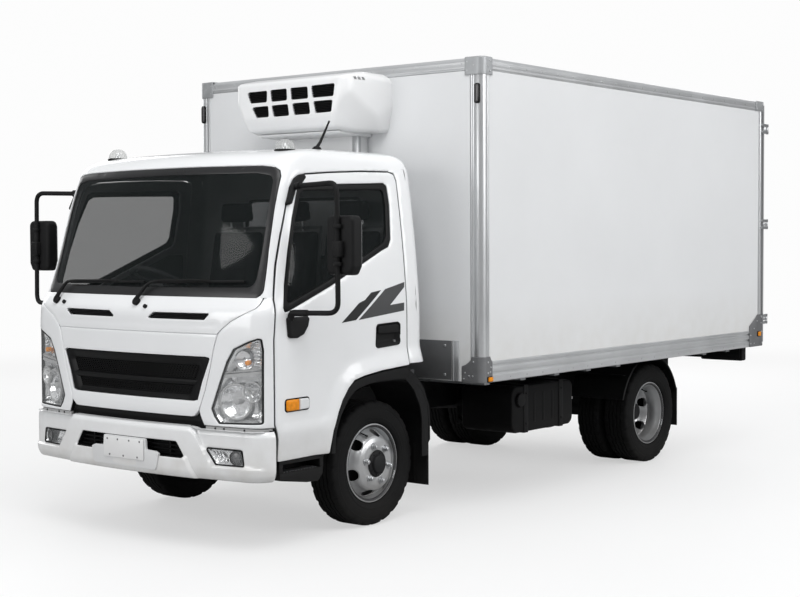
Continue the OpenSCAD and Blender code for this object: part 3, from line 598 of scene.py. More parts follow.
def cabmap(uv, depth):
    """(s, z) and depth under the skin -> mm"""
    s, z = uv[:, 0], uv[:, 1]
    e = 1.0
    x, y = cab_xy(s, z)
    xa, ya = cab_xy(s + e, z); xb, yb = cab_xy(s - e, z)
    xc, yc = cab_xy(s, z + e); xd, yd = cab_xy(s, z - e)
    ts = np.stack([xa - xb, ya - yb, np.zeros_like(x)], 1)
    tz = np.stack([xc - xd, yc - yd, np.full_like(x, 2 * e)], 1)
    n = np.cross(ts, tz); n /= np.linalg.norm(n, axis=1)[:, None]
    side = np.abs(y) > 960
    out = np.where(side & (z < 1250), flare(x, z), 0.0)
    depth = np.broadcast_to(depth, x.shape)
    k = np.clip(1 - depth / 40.0, 0, 1)
    return np.stack([x, y, z], 1) + n * (out * k - depth)[:, None]


def rearmap(uv, depth):
    """(y, z) across the rear wall, wrapping on to the sides"""
    q, z = uv[:, 0], uv[:, 1]
    xf, hw, r, Rb, xr, y1, th, xc = sect(z)
    full = y1 + r * (np.pi / 2 - th) + (xc - (xr + REAR_R)) + REAR_R * np.pi / 2 + (hw - REAR_R)
    s = np.where(q >= 0, full - q, -(full + q))
    s = np.where(np.abs(q) < 2.0, np.where(q >= 0, full - 2.0, -(full - 2.0)), s)
    p = cabmap(np.stack([s, z], 1), depth)
    p[:, 1] = np.where(np.abs(q) < 2.0, q, p[:, 1])
    return p


def densify(pts, step):
    out = []
    n = len(pts)
    for i in range(n):
        a = np.array(pts[i], float); b = np.array(pts[(i + 1) % n], float)
        k = max(1, int(math.ceil(np.linalg.norm(b - a) / step)))
        for j in range(k):
            out.append(tuple(a + (b - a) * j / k))
    return out


def inside(p, poly):
    x, y = p[:, 0], p[:, 1]
    q = np.asarray(poly, float)
    res = np.zeros(len(p), bool)
    j = len(q) - 1
    for i in range(len(q)):
        xi, yi, xj, yj = q[i, 0], q[i, 1], q[j, 0], q[j, 1]
        c = (yi > y) != (yj > y)
        if c.any():
            xx = (xj - xi) * (y - yi) / (yj - yi + 1e-12) + xi
            res ^= c & (x < xx)
        j = i
    return res


def panel_vf(outline, holes=(), mapf=None, thick=30.0, er=3.0, step=30.0, base=0.0, soft=None, shape=None, back=True):
    """a sheet with rounded edges on a mapped surface: the outline less the holes, which may cross it; soft(u, v) is true where the border runs on into the next sheet.
    Returns points, outer faces, other faces."""
    mapf = mapf or cabmap
    loops = [densify(outline, step)] + [densify(h, step) for h in holes]
    def in_mat(p):
        r = inside(p, loops[0])
        for h in loops[1:]: r &= ~inside(p, h)
        return r
    def tri(points, edges):
        res = delaunay_2d_cdt([Vector(p) for p in points], edges, [], 0, 1e-4, True)
        V = np.array([tuple(v) for v in res[0]])
        F = np.array([f for f in res[2] if len(f) == 3])
        F = F[in_mat(V[F].mean(1))]
        seen = {}
        for a, b, c in F.tolist():
            for e in ((a, b), (b, c), (c, a)):
                k = (min(e), max(e))
                if k in seen: seen[k] = None
                else: seen[k] = e
        return V, F, [e for e in seen.values() if e]
    P2, E = [], []
    for lp in loops:
        k = len(P2); n = len(lp)
        P2 += lp; E += [(k + i, k + (i + 1) % n) for i in range(n)]
    V, F, border = tri(P2, E)
    used = sorted({i for e in border for i in e})
    new = {o: i for i, o in enumerate(used)}
    BV = V[used]
    BE = np.array([(new[a], new[b]) for a, b in border])
    A, B = BV[BE[:, 0]], BV[BE[:, 1]]
    d = B - A; d /= np.maximum(np.linalg.norm(d, axis=1), 1e-9)[:, None]
    nrm = np.zeros_like(BV)
    nm = np.stack([-d[:, 1], d[:, 0]], 1)
    np.add.at(nrm, BE[:, 0], nm); np.add.at(nrm, BE[:, 1], nm)
    nrm /= np.maximum(np.linalg.norm(nrm, axis=1), 1e-9)[:, None]
    mid = (A + B) / 2
    hard = np.ones(len(BE), bool) if soft is None else ~np.array([bool(soft(u, v)) for u, v in mid])
    pts = [BV]
    if er > 0:
        for q in (0.12 * er, 0.42 * er, er):
            r = BV + nrm * q
            ok = in_mat(r)
            r = r[ok]
            if len(r): pts.append(r[seg_dist(r, A, B) > 0.85 * q])
    lo, hi = BV.min(0), BV.max(0)
    gx = np.arange(lo[0] + step * 0.5, hi[0], step); gy = np.arange(lo[1] + step * 0.5, hi[1], step * 0.866)
    if len(gx) and len(gy):
        G = np.array([(x + (step * 0.5 if j % 2 else 0), y) for j, y in enumerate(gy) for x in gx])
        G = G[in_mat(G)]
        if len(G): G = G[seg_dist(G, A, B) > max(0.55 * step, er * 1.6)]
        if len(G): pts.append(G)
    V, F, border = tri(np.vstack(pts), [tuple(e) for e in BE.tolist()])
    dist = seg_dist(V, A[hard], B[hard]) if hard.any() else np.full(len(V), 1e9)
    dep = np.where(dist < er, er - np.sqrt(np.maximum(er ** 2 - (er - np.minimum(dist, er)) ** 2, 0)), 0.0) if er > 0 else np.zeros(len(V))
    dep = dep + base
    if shape is not None: dep = dep + shape(V)
    v = [tuple(p) for p in mapf(V, dep)]
    outer = [tuple(t) for t in F.tolist()]
    other = []
    if back:
        k = len(v)
        v += [tuple(p) for p in mapf(V, np.full(len(V), base + thick))]
        other = [tuple(i + k for i in reversed(t)) for t in outer]
        for a, b in border:
            m = (V[a] + V[b]) / 2
            if soft is not None and soft(m[0], m[1]): continue
            other.append((b, a, a + k, b + k))
    return v, outer, other


def poly_sx(pts, step=25):
    """outline given as (x, z) on the left side -> (s, z)"""
    q = np.array(densify(pts, step))
    return list(zip(s_of_x(q[:, 0], q[:, 1]), q[:, 1]))


def poly_sy(pts, step=25):
    """outline given as (y, z) on the front -> (s, z)"""
    q = np.array(densify(pts, step))
    return list(zip(s_of_y(q[:, 0], q[:, 1]), q[:, 1]))


def grow(p, g):
    p = [np.array(q, float) for q in p]
    n = len(p)
    area = sum(p[i][0] * p[(i + 1) % n][1] - p[(i + 1) % n][0] * p[i][1] for i in range(n))
    sg = 1 if area > 0 else -1
    out = []
    for i in range(n):
        a, b, c = p[i - 1], p[i], p[(i + 1) % n]
        d1 = (b - a) / np.linalg.norm(b - a); d2 = (c - b) / np.linalg.norm(c - b)
        n1 = np.array([d1[1], -d1[0]]) * sg; n2 = np.array([d2[1], -d2[0]]) * sg
        out.append(tuple(b + g * (n1 + n2) / max(0.35, 1 + n1 @ n2)))
    return out


def flip_y(v, f):
    return [(p[0], -p[1], p[2]) for p in v], [tuple(reversed(t)) for t in f]

# ------------------------------------------------------------------ outlines
DOOR = [(952, 511), (540, 516), (519, 647), (478, 748), (442, 814), (388, 880), (334, 922), (242, 942), (74, 962), (-188, 977), (-188, 2100), (-172, 2142), (-125, 2153), (143, 2147), (418, 2132), (628, 2116), (689, 2103), (733, 2082), (767, 2036), (807, 1940), (864, 1771), (914, 1605), (961, 1413), (981, 1193), (980, 723), (967, 683), (956, 635)]
WINDOW = [(902, 1342), (877, 1343), (511, 1472), (16, 1675), (-54, 1698), (-80, 1741), (-102, 1954), (-95, 2069), (-64, 2087), (427, 2067), (678, 2061), (714, 2043), (787, 1867), (842, 1688), (892, 1494), (913, 1367)]
DLO = [(862, 1392), (780, 1418), (520, 1508), (40, 1703), (-18, 1728), (-42, 1764), (-62, 1950), (-56, 2032), (-38, 2046), (427, 2034), (652, 2026), (690, 2004), (756, 1852), (812, 1680), (858, 1500), (872, 1400)]
LAMP = [(637, 800), (658, 756), (690, 719), (967, 728), (968, 975), (969, 1140), (962, 1199), (946, 1203), (890, 1184), (794, 1142), (746, 1068), (696, 949)]
GRILLE = [(-508, 838), (508, 838), (541, 845), (575, 949), (632, 1085), (600, 1091), (-600, 1091), (-632, 1085), (-575, 949), (-541, 845)]
SCREEN = [(-930, 1424), (0, 1418), (930, 1424), (905, 1688), (893, 1911), (885, 2103), (872, 2138), (839, 2158), (749, 2168), (300, 2172), (-300, 2172), (-749, 2168), (-839, 2158), (-872, 2138), (-885, 2103), (-893, 1911), (-905, 1688)]
ROOF_Z = 2176.0


def mir(pts):
    return [(-a, b) for a, b in reversed(pts)]


def cab_full(z):
    xf, hw, r, Rb, xr, y1, th, xc = sect(z)
    return y1 + r * (np.pi / 2 - th) + (xc - (xr + REAR_R)) + REAR_R * np.pi / 2 + (hw - REAR_R)


door_grown = poly_sx(grow(rounded(DOOR, 10, 3), 9))
screen_sz = poly_sy(rounded(SCREEN, [40, 0, 40] + [8] * 14, 4))

# roof, pillars and rear wall: one pressed shell
def shell():
    g = Geo()
    zr = ROOF_Z
    s_side = float(s_of_x(-285.0, zr))
    # side frames
    front_s = 0.0
    outline = [(front_s, zr), (s_side, zr)]
    zz = np.linspace(zr, 985, 26)[1:]
    outline += [(float(s_of_x(-285.0, z)), float(z)) for z in zz]
    outline += [(float(s_of_x(-130.0, 985.0)), 985.0), (float(s_of_x(-130.0, 1300.0)), 1300.0), (float(s_of_x(700.0, 1300.0)), 1300.0), (float(s_of_x(900.0, 1424.0)), 1424.0), (float(s_of_y(900.0, 1424.0)), 1424.0), (front_s, 1424.0)]
    soft = lambda u, v: v > zr - 0.5 or (v > 984 and abs(u - float(s_of_x(-285.0, v))) < 1.0) or abs(u) < 1.0 or (1423.5 < v < 1424.5 and u > 930)
    side = panel_vf(outline, [door_grown, screen_sz], thick=38, er=5, step=32, soft=soft)
    g.panel(side, 0, 1)
    v, a, b = side
    k = len(g.v)
    g.v += [(p[0], -p[1], p[2]) for p in v]
    g.f += [tuple(i + k for i in reversed(f)) for f in a] + [tuple(i + k for i in reversed(f)) for f in b]
    g.m += [0] * len(a) + [1] * len(b)
    # rear wall
    q = lambda z: float(REAR_R * np.pi / 2 + (SF[1](z) - REAR_R))
    zs = np.linspace(985, zr, 26)
    out = [(q(z), float(z)) for z in zs] + [(-q(z), float(z)) for z in zs[::-1]]
    win = rounded([(-560, 1620), (560, 1620), (520, 2020), (-520, 2020)], 60, 6)
    softr = lambda u, v: v > zr - 0.5 or abs(abs(u) - q(v)) < 1.0
    def ribs(V):
        r = np.zeros(len(V))
        for y0 in (-620, -310, 0, 310, 620):
            t = np.clip(1 - np.abs(V[:, 0] - y0) / 42.0, 0, 1) * np.clip((V[:, 1] - 1080) / 60, 0, 1) * np.clip((1500 - V[:, 1]) / 60, 0, 1)
            r += 9 * t * t * (3 - 2 * t)
        return r
    g.panel(panel_vf(out, [win], mapf=rearmap, thick=38, er=5, step=32, soft=softr, shape=ribs), 0, 1)
    # roof rings
    fs = cab_full(zr)
    S = []
    def span(a, b):
        n = max(1, int(math.ceil(abs(b - a) / 32.0)))
        return [a + (b - a) * i / n for i in range(n)]
    full0 = float(fs)
    S = span(-full0, -s_side) + span(-s_side, 0.0) + span(0.0, s_side) + span(s_side, full0)
    S = np.array(S)
    n = len(S)
    rings = []
    for i in range(13):
        t = i / 12
        z = zr + (2275 - zr) * math.sin(t * math.pi / 2)
        uv = np.stack([S * float(cab_full(z)) / full0, np.full(n, z)], 1)
        rings.append(cabmap(uv, np.zeros(n)))
    cen = np.array([190.0, 0, 0])
    top = rings[-1]
    for kf in (0.9, 0.78, 0.64, 0.48, 0.32, 0.16):
        r = top.copy(); r[:, :2] = cen[:2] + (top[:, :2] - cen[:2]) * kf
        bead = sum(5 * np.exp(-((r[:, 1] - yb) / 45.0) ** 2) for yb in (-420, -140, 140, 420)) * (np.clip((500 - r[:, 0]) / 120, 0, 1) * np.clip((r[:, 0] + 180) / 120, 0, 1))
        r[:, 2] = 2275 + 13 * (1 - kf ** 2) + bead
        rings.append(r)
    k = len(g.v)
    for r in rings: g.v += [tuple(p) for p in r]
    m = len(rings)
    for i in range(m - 1):
        for j in range(n):
            g.f.append((k + i * n + j, k + i * n + (j + 1) % n, k + (i + 1) * n + (j + 1) % n, k + (i + 1) * n + j)); g.m.append(0)
    g.v.append((cen[0], 0, 2288.0))
    for j in range(n):
        g.f.append((k + (m - 1) * n + j, k + (m - 1) * n + (j + 1) % n, len(g.v) - 1)); g.m.append(0)
    # roof lining
    inner = []
    for i in range(6):
        t = i / 5
        z = zr + (2235 - zr) * math.sin(t * math.pi / 2)
        uv = np.stack([S * float(cab_full(z)) / full0, np.full(n, z)], 1)
        inner.append(cabmap(uv, np.full(n, 38.0)))
    for kf in (0.8, 0.4, 0.1):
        r = inner[5].copy(); r[:, :2] = cen[:2] + (inner[5][:, :2] - cen[:2]) * kf; r[:, 2] = 2222
        inner.append(r)
    k = len(g.v)
    for r in inner: g.v += [tuple(p) for p in r]
    for i in range(len(inner) - 1):
        for j in range(n):
            g.f.append((k + i * n + j, k + (i + 1) * n + j, k + (i + 1) * n + (j + 1) % n, k + i * n + (j + 1) % n)); g.m.append(1)
    return g


def weld(g, tol=0.05):
    """joins points of a Geo that lie on each other"""
    V = np.array(g.v)
    key = np.round(V / tol).astype(np.int64)
    uniq, inv = np.unique(key, axis=0, return_inverse=True)
    inv = inv.ravel()
    first = np.zeros(len(uniq), int); first[inv[::-1]] = np.arange(len(V))[::-1]
    g.v = [tuple(V[i]) for i in first]
    f2, m2 = [], []
    for f, m in zip(g.f, g.m):
        t = [int(inv[i]) for i in f]
        t = [t[i] for i in range(len(t)) if t[i] != t[i - 1]]
        if len(set(t)) >= 3 and len(set(t)) == len(t): f2.append(tuple(t)); m2.append(m)
    g.f, g.m = f2, m2
    return g


weld(shell()).obj("cab_shell", [WHITE, GREYP], "cab", 40, replaces=("cab_roof", "cab_sides", "cab_rear_wall"), slot="white_paint")

# ---------------------------------------------------------------- front panels
SEAM = [(936, 1424), (932, 1387), (919, 1365), (771, 1291), (711, 1245), (684, 1211), (656, 1132), (633, 1030), (596, 905), (551, 789), (545, 740)]
LOW = [(545, 742), (579, 704), (1100, 704)]


def front_panels():
    g = Geo()
    lamp = poly_sy(rounded(LAMP, 14, 4))
    gr = poly_sy(rounded(GRILLE, [12, 12, 10, 10, 8, 0, 0, 8, 10, 10], 3))
    seam_up = [p for p in SEAM if p[1] >= 1211]
    # cowl
    out = [(932, 1424)] + [(a - 1.5, b + 1) for a, b in seam_up[1:-1]] + [(682, 1221)]
    cowl = poly_sy(out + [(0, 1221)] + mir(out), 25)
    v1 = rounded([(196, 1334), (628, 1336), (588, 1297), (141, 1297)], [8, 6, 10, 6], 3)
    v2 = rounded([(-633, 1336), (-186, 1334), (-131, 1297), (-578, 1297)], [10, 6, 6, 8], 3)
    def dish(V):
        y = np.abs(V[:, 0])
        t = np.clip(1 - np.abs(V[:, 1] - 1262) / 34.0, 0, 1)
        return 5.0 * t * t * (3 - 2 * t) * np.clip((720 - y) / 60, 0, 1)
    g.panel(panel_vf(cowl, [poly_sy(v1), poly_sy(v2)], thick=26, er=2.6, step=26, shape=dish), 0, 0)
    # panel round the grille
    low = [p for p in SEAM if p[1] < 1240]
    out = [(682, 1218)] + [(a - 1.5, b) for a, b in low[1:-1]] + [(540, 776), (512, 752), (490, 750)]
    bon = poly_sy(out + mir(out), 25)
    def lipg(V):
        t = np.clip(1 - np.abs(V[:, 1] - 795) / 40.0, 0, 1)
        return -4.0 * t * t * (3 - 2 * t)
    g.panel(panel_vf(bon, [gr], thick=26, er=3.2, step=24, shape=lipg), 0, 0)
    # corners with the lamp openings
    out = [(a + 1.5, b) for a, b in SEAM[1:-1]] + [(560, 760), (586, 706)]
    q = [(938.5, 1424)] + out
    left = [q[0]]
    for a, b in zip(q[:-1], q[1:]):
        k = max(1, int(math.hypot(b[0] - a[0], b[1] - a[1]) / 20))
        left += [(a[0] + (b[0] - a[0]) * i / k, a[1] + (b[1] - a[1]) * i / k) for i in range(1, k + 1)]
    left = [(float(s_of_y(y, z)), float(z)) for y, z in left]
    zz = [706, 760, 900, 1100, 1193, 1300, 1424]
    edge = [(float(s_of_x(935.0, z)), float(z)) for z in zz]
    left = left + edge
    side = panel_vf(left, [lamp, door_grown], thick=26, er=5, step=24, soft=lambda u, v: v > 1423.5)
    g.panel(side, 0, 1)
    v, a, b = side
    k = len(g.v)
    g.v += [(p[0], -p[1], p[2]) for p in v]
    g.f += [tuple(i + k for i in reversed(f)) for f in a] + [tuple(i + k for i in reversed(f)) for f in b]
    g.m += [0] * len(a) + [1] * len(b)
    return g


front_panels().obj("front_panel_skin", [WHITE, BLACKP], "cab", 40, replaces=("front_panel",), slot="white_paint")

# dark sheet behind the panel gaps, with the vent slats: a black insert behind the vents, and painted shade where it
# shows through the gaps round the grille and above the bumper
g = Geo()
back = poly_sy([(935, 1415), (919, 1300), (690, 1240), (684, 1000), (640, 800), (600, 720)] + mir([(935, 1415), (919, 1300), (690, 1240), (684, 1000), (640, 800), (600, 720)]), 40)
g.panel(panel_vf(back, [], thick=4, er=0, step=60, base=27), 0)
fill = poly_sy([(930, 1412), (905, 1330), (700, 1240), (690, 1160), (650, 1030), (612, 905), (566, 800), (548, 790), (-548, 790), (-566, 800), (-612, 905), (-650, 1030), (-690, 1160), (-700, 1240), (-905, 1330), (-930, 1412)], 30)
gfill = poly_sy(grow(GRILLE, 6), 30)
sl1 = poly_sy([(205, 1342), (640, 1344), (600, 1289), (130, 1289)], 25)
sl2 = poly_sy([(-645, 1344), (-176, 1342), (-120, 1289), (-590, 1289)], 25)
gj = Geo()
gj.panel(panel_vf(fill, [gfill, sl1, sl2], thick=3, er=0, step=40, base=8), 0)
gj.obj("front_panel_joint_sheet", [WHITE], "cab", 35, slot="white_paint")
for y0, y1 in ((150, 615), (-620, -140)):
    for z in (1304, 1313, 1322):
        n = 24
        ys = np.linspace(y0, y1, n)
        pts = []
        for dz, d in ((0, 8), (5, 12), (5, 24), (0, 24)):
            pts.append(cabmap(np.stack([ys, np.full(n, z + dz)], 1), np.full(n, float(d))))
        V = [tuple(p) for r in pts for p in r]
        F = [(a * n + i, a * n + i + 1, ((a + 1) % 4) * n + i + 1, ((a + 1) % 4) * n + i) for a in range(4) for i in range(n - 1)]
        g.add(V, F)
g.obj("front_panel_backing", [BLACKP], "cab", 35)

# ---------------------------------------------------------------- grille
def grille():
    g = Geo()
    out = rounded(grow(GRILLE, -5), [12, 12, 10, 10, 8, 0, 0, 8, 10, 10], 3)
    inner = rounded([(-470, 872), (470, 872), (505, 950), (548, 1040), (-548, 1040), (-505, 950)], 10, 3)
    # frame that slopes in to the mesh
    def slope(V):
        d = seg_dist(V, np.array(inner), np.roll(np.array(inner), -1, 0))
        ins = inside(V, inner)
        return np.where(ins, 20.0, np.clip(20.0 - d * 0.45, 4.0, 20.0))
    g.panel(panel_vf(out, [inner], thick=34, er=2.5, step=14, shape=slope), 0)
    # mid ridge
    n = 60
    ys = np.linspace(-535, 535, n)
    prof = [(962, 22), (956, 10), (944, 6), (930, 9), (922, 22)]
    rows = [cabmap(np.stack([ys * (1 - (z - 962) * -0.0006), np.full(n, float(z))], 1), np.full(n, float(d))) for z, d in prof]
    V = [tuple(p) for r in rows for p in r]
    F = [(a * n + i, a * n + i + 1, (a + 1) * n + i + 1, (a + 1) * n + i) for a in range(len(prof) - 1) for i in range(n - 1)]
    g.add(V, F)
    # mesh: fine honeycomb bars
    for z in np.arange(880, 1040, 11.0):
        if 918 < z < 966: continue
        lim = np.interp(z, [872, 950, 1040], [468, 503, 546])
        n = 2 * int(lim / 11)
        ys = np.linspace(-lim, lim, n + 1)
        zig = np.array([z + (3.2 if i % 2 else -3.2) for i in range(n + 1)])
        rows = []
        for dz, d in ((1.7, 19), (-1.7, 19), (-1.7, 28), (1.7, 28)):
            rows.append(cabmap(np.stack([ys, zig + dz], 1), np.full(n + 1, float(d))))
        V = [tuple(p) for r in rows for p in r]
        m = n + 1
        F = [(a * m + i, a * m + i + 1, ((a + 1) % 4) * m + i + 1, ((a + 1) % 4) * m + i) for a in range(4) for i in range(n)]
        g.add(V, F)
    bk = panel_vf(inner, [], thick=3, er=0, step=40, base=31)
    g.panel(bk, 1)
    return g


grille().obj("grille_mesh_and_frame", [BLACKG, SEAL], "cab", 30, replaces=("grille",), slot="black_plastic")

# ---------------------------------------------------------------- headlamps
def lamp_units():
    g = Geo()
    rim = rounded(LAMP, 14, 4)
    # housing bowl, chrome
    def well(V):
        d = seg_dist(V, np.array(poly_sy(rim)), np.roll(np.array(poly_sy(rim)), -1, 0))
        return np.clip(d * 1.3, 0, 52)
    hp = poly_sy(grow(rim, -7), 12)
    g.panel(panel_vf(hp, [], thick=75, er=0, step=12, base=9, shape=well, back=False), 0)
    # dark border
    g.panel(panel_vf(poly_sy(grow(rim, -1.5), 12), [poly_sy(grow(rim, -9), 12)], thick=16, er=2, step=12, base=2.0), 1)
    # reflectors
    def bowl(y, z, r, depth, dep0, ry=1.0):
        s = float(s_of_y(y, z))
        o = cabmap(np.array([[s, z]]), np.array([dep0]))[0]
        ax = np.array([0.965, 0.26, -0.02])
        prof = [(r * 1.06, 3), (r * 1.06, 0), (r, 0)]
        for k in range(1, 12):
            t = k / 12
            prof.append((r * (1 - t) + 0.5, -depth * (1 - (1 - t) ** 2)))
        v, f = lathe(prof, o, ax, 40, closed=False)
        g.add(v, f, 0)
        v, f = lathe([(r * 1.12, -8), (r * 1.12, 4), (r * 1.05, 6), (r * 1.0, 2), (r * 1.0, -4)], o, ax, 40, closed=False)
        g.add(v, f, 2)
        # bulb shield
        v, f = dome(o, ax, r * 0.2, -depth * 0.8, -2, 16, 4)
        g.add(v, f, 2)
        for a in range(10):
            an = a * math.pi / 5
            pth = []
            u = np.cross(ax, [0, 0, 1.0]); u /= np.linalg.norm(u); w = np.cross(u, ax)
            for t in (0.92, 0.7, 0.45, 0.25):
                e = math.cos(an) * u + math.sin(an) * w
                pth.append(o + e * r * t + ax * (-depth * (1 - (t) ** 2) + 1.5))
            v, f = tube(pth, 1.6, 5)
            g.add(v, f, 0)
    bowl(792, 846, 92, 60, 26)
    bowl(905, 902, 52, 40, 30)
    # dividing strips
    for (ya, za, yb, zb, h) in ((708, 985, 966, 1012, 20), (716, 1004, 966, 1034, 7)):
        n = 30
        ys = np.linspace(ya, yb, n); zs = np.linspace(za, zb, n)
        rows = []
        for dz, d in ((-h / 2, 44), (-h / 2, 14), (h / 2, 12), (h / 2, 44)):
            ss = s_of_y(ys, zs + dz)
            rows.append(cabmap(np.stack([ss, zs + dz], 1), np.full(n, float(d))))
        V = [tuple(p) for r in rows for p in r]
        F = [(a * n + i, a * n + i + 1, (a + 1) * n + i + 1, (a + 1) * n + i) for a in range(3) for i in range(n - 1)]
        g.add(V, F, 2)
    # turn lamp: stepped reflector with its bulb
    for k, (y, z, r) in enumerate(((838, 1085, 62), (838, 1085, 44))):
        s = float(s_of_y(y, z)); o = cabmap(np.array([[s, z]]), np.array([44.0 - 8 * k]))[0]
        v, f = lathe([(r, 0), (r * 0.8, -6), (r * 0.55, -14), (r * 0.2, -20)], o, (0.93, 0.36, 0), 32, closed=False)
        g.add(v, f, 0)
    s = float(s_of_y(872, 1066)); o = cabmap(np.array([[s, 1066.0]]), np.array([40.0]))[0]
    v, f = dome(o, (0.93, 0.36, 0), 15, -4, 26, 20, 6)
    g.add(v, f, 3)
    for k in range(7):
        yy = 918 + k * 0.0; zz = 1050 + k * 20
        n = 8
        ys = np.linspace(915, 952, n)
        rows = []
        for dz, d in ((-7, 40), (0, 30), (7, 40)):
            ss = s_of_y(ys, np.full(n, zz + dz))
            rows.append(cabmap(np.stack([ss, np.full(n, float(zz + dz))], 1), np.full(n, float(d))))
        V = [tuple(p) for r in rows for p in r]
        F = [(a * n + i, a * n + i + 1, (a + 1) * n + i + 1, (a + 1) * n + i) for a in range(2) for i in range(n - 1)]
        g.add(V, F, 0)
    return g.mirror()


lamp_units().obj("headlamp_units", [LAMPR, BLACKG, LGREY, AMBER], "cab", 35, replaces=("headlamps",), slot="lamp")
g = Geo()
g.panel(panel_vf(poly_sy(grow(rounded(LAMP, 14, 4), -5), 12), [], thick=3.5, er=3, step=16, base=1.0), 0)
g.mirror().obj("headlamp_lenses", [LENS], "cab", 40, slot="lamp")

# ---------------------------------------------------------------- windscreen
fr_out = rounded(grow(SCREEN, -3), [36, 0, 36] + [8] * 14, 4)
fr_in = rounded([(-868, 1482), (0, 1474), (868, 1482), (866, 1690), (856, 1911), (848, 2080), (828, 2108), (740, 2124), (0, 2130), (-740, 2124), (-828, 2108), (-848, 2080), (-856, 1911), (-866, 1690)], [50, 0, 50, 0, 0, 30, 30, 0, 0, 0, 30, 30, 0, 0], 4)
g = Geo()
g.panel(panel_vf(poly_sy(fr_out), [poly_sy(fr_in)], thick=7, er=2.5, step=24, base=4), 0)
g.obj("windscreen_border", [FRIT], "cab", 40)
g = Geo()
g.panel(panel_vf(poly_sy(grow(fr_in, 6)), [], thick=5, er=0, step=40, base=7), 0)
rw = rounded([(-548, 1632), (548, 1632), (510, 2008), (-510, 2008)], 55, 6)
g.panel(panel_vf(rw, [], mapf=rearmap, thick=5, er=0, step=60, base=10), 0)
g.obj("cab_glazing", [GLASS], "cab", 40, replaces=("cab_glass",), slot="glass")
g = Geo()
g.panel(panel_vf(rounded([(-562, 1618), (562, 1618), (522, 2022), (-522, 2022)], 62, 6), [rounded([(-540, 1640), (540, 1640), (503, 2000), (-503, 2000)], 52, 6)], mapf=rearmap, thick=14, er=4, step=30, base=-3), 0)
g.obj("rear_window_seal", [SEAL], "cab", 40)

# ---------------------------------------------------------------- bumper
BP_XF, BP_HW, BP_R, BP_BOW = 1195.0, 1014.0, 160.0, 5066.0
BP_YC = BP_HW - BP_R
BP_XB = BP_XF - BP_YC ** 2 / (2 * BP_BOW)


def bp_xy(s):
    a = np.abs(s)
    t = (a - BP_YC) / BP_R
    lc = BP_R * math.pi / 2
    x = np.where(a <= BP_YC, BP_XF - a ** 2 / (2 * BP_BOW), np.where(a <= BP_YC + lc, BP_XB - BP_R + BP_R * np.cos(t), BP_XB - BP_R - (a - BP_YC - lc)))
    y = np.where(a <= BP_YC, a, np.where(a <= BP_YC + lc, BP_YC + BP_R * np.sin(t), BP_HW))
    return x, np.where(s < 0, -y, y)


def bp_s_of_y(y):
    y = np.asarray(y, float); a = np.abs(y)
    t = np.arcsin(np.clip((a - BP_YC) / BP_R, 0, 1))
    return np.sign(y) * np.where(a <= BP_YC, a, BP_YC + BP_R * t)


def bp_s_of_x(x):
    x = np.asarray(x, float)
    t = np.arccos(np.clip((x - (BP_XB - BP_R)) / BP_R, -1, 1))
    return np.where(x > BP_XB - BP_R, BP_YC + BP_R * t, BP_YC + BP_R * math.pi / 2 + (BP_XB - BP_R - x))


def bp_map(uv, depth):
    s, z = uv[:, 0], uv[:, 1]
    x, y = bp_xy(s); xa, ya = bp_xy(s + 1); xb, yb = bp_xy(s - 1)
    t = np.stack([xa - xb, ya - yb], 1); t /= np.linalg.norm(t, axis=1)[:, None]
    n = np.stack([t[:, 1], -t[:, 0]], 1)
    depth = np.broadcast_to(depth, x.shape)
    # tucks under along the lower edge
    tuck = np.where(z < 450, (450 - z) ** 2 / 48 * 0.35, 0.0)
    d = depth + tuck
    return np.stack([x - n[:, 0] * d, y - n[:, 1] * d, z], 1)


TRAP = [(-512, 720), (512, 720), (592, 584), (668, 488), (740, 398), (-740, 398), (-668, 488), (-592, 584)]
LIP = [(-482, 520), (482, 520), (556, 395), (-556, 395)]
FOG = [(601, 584), (677, 488), (872, 490), (856, 582)]


def ramp(V, poly, w):
    """1 inside the polygon, 0 outside, smooth over w"""
    P = np.array(poly, float)
    d = seg_dist(V, P, np.roll(P, -1, 0)) * np.where(inside(V, poly), 1, -1)
    t = np.clip(d / w + 0.5, 0, 1)
    return t * t * (3 - 2 * t)


WING = [(500, 730), (592, 584), (668, 486), (900, 484), (1120, 480), (1120, 730)]


def bp_shape(V):
    W2 = np.stack([V[:, 0], V[:, 1]], 1)
    a = np.abs(V[:, 0])
    wing = (ramp(W2, WING, 12.0) + ramp(W2, [(-p, q) for p, q in WING][::-1], 12.0)) * 24.0 * np.clip((1020 - a) / 110, 0, 1)
    lip = ramp(W2, LIP, 10.0) * -12.0
    top = np.where(a < 500, 700.0, np.where(a < 560, 700 - (a - 500) / 60 * 14, 686.0))
    ch = np.clip((V[:, 1] - (top - 30)) / 30.0, 0, 1) ** 1.2 * 13.0
    low = np.clip((470 - V[:, 1]) / 70.0, 0, 1) * 10.0 * (1 - ramp(W2, LIP, 12.0))
    return wing + lip + ch + low


fog_hole = rounded(FOG, 12, 3)
low_hole = rounded([(-472, 514), (472, 514), (408, 606), (-408, 606)], [12, 12, 18, 18], 3)
end = [(993, 690), (991, 676), (989, 635), (989, 507), (990, 420), (994, 404)]
right_end = [(float(bp_s_of_x(x)), float(z)) for x, z in end]
bp_out = [(-500, 700), (500, 700), (530, 694), (560, 686)] + [(float(bp_s_of_x(990)), 686.0)] + right_end + [(-a, b) for a, b in right_end[::-1]] + [(-float(bp_s_of_x(990)), 686.0), (-560, 686), (-530, 694)]
g = Geo()
g.panel(panel_vf(rounded(bp_out, 10, 2), [low_hole, fog_hole, mir(fog_hole)], mapf=bp_map, thick=46, er=6, step=10, shape=bp_shape), 0, 1)
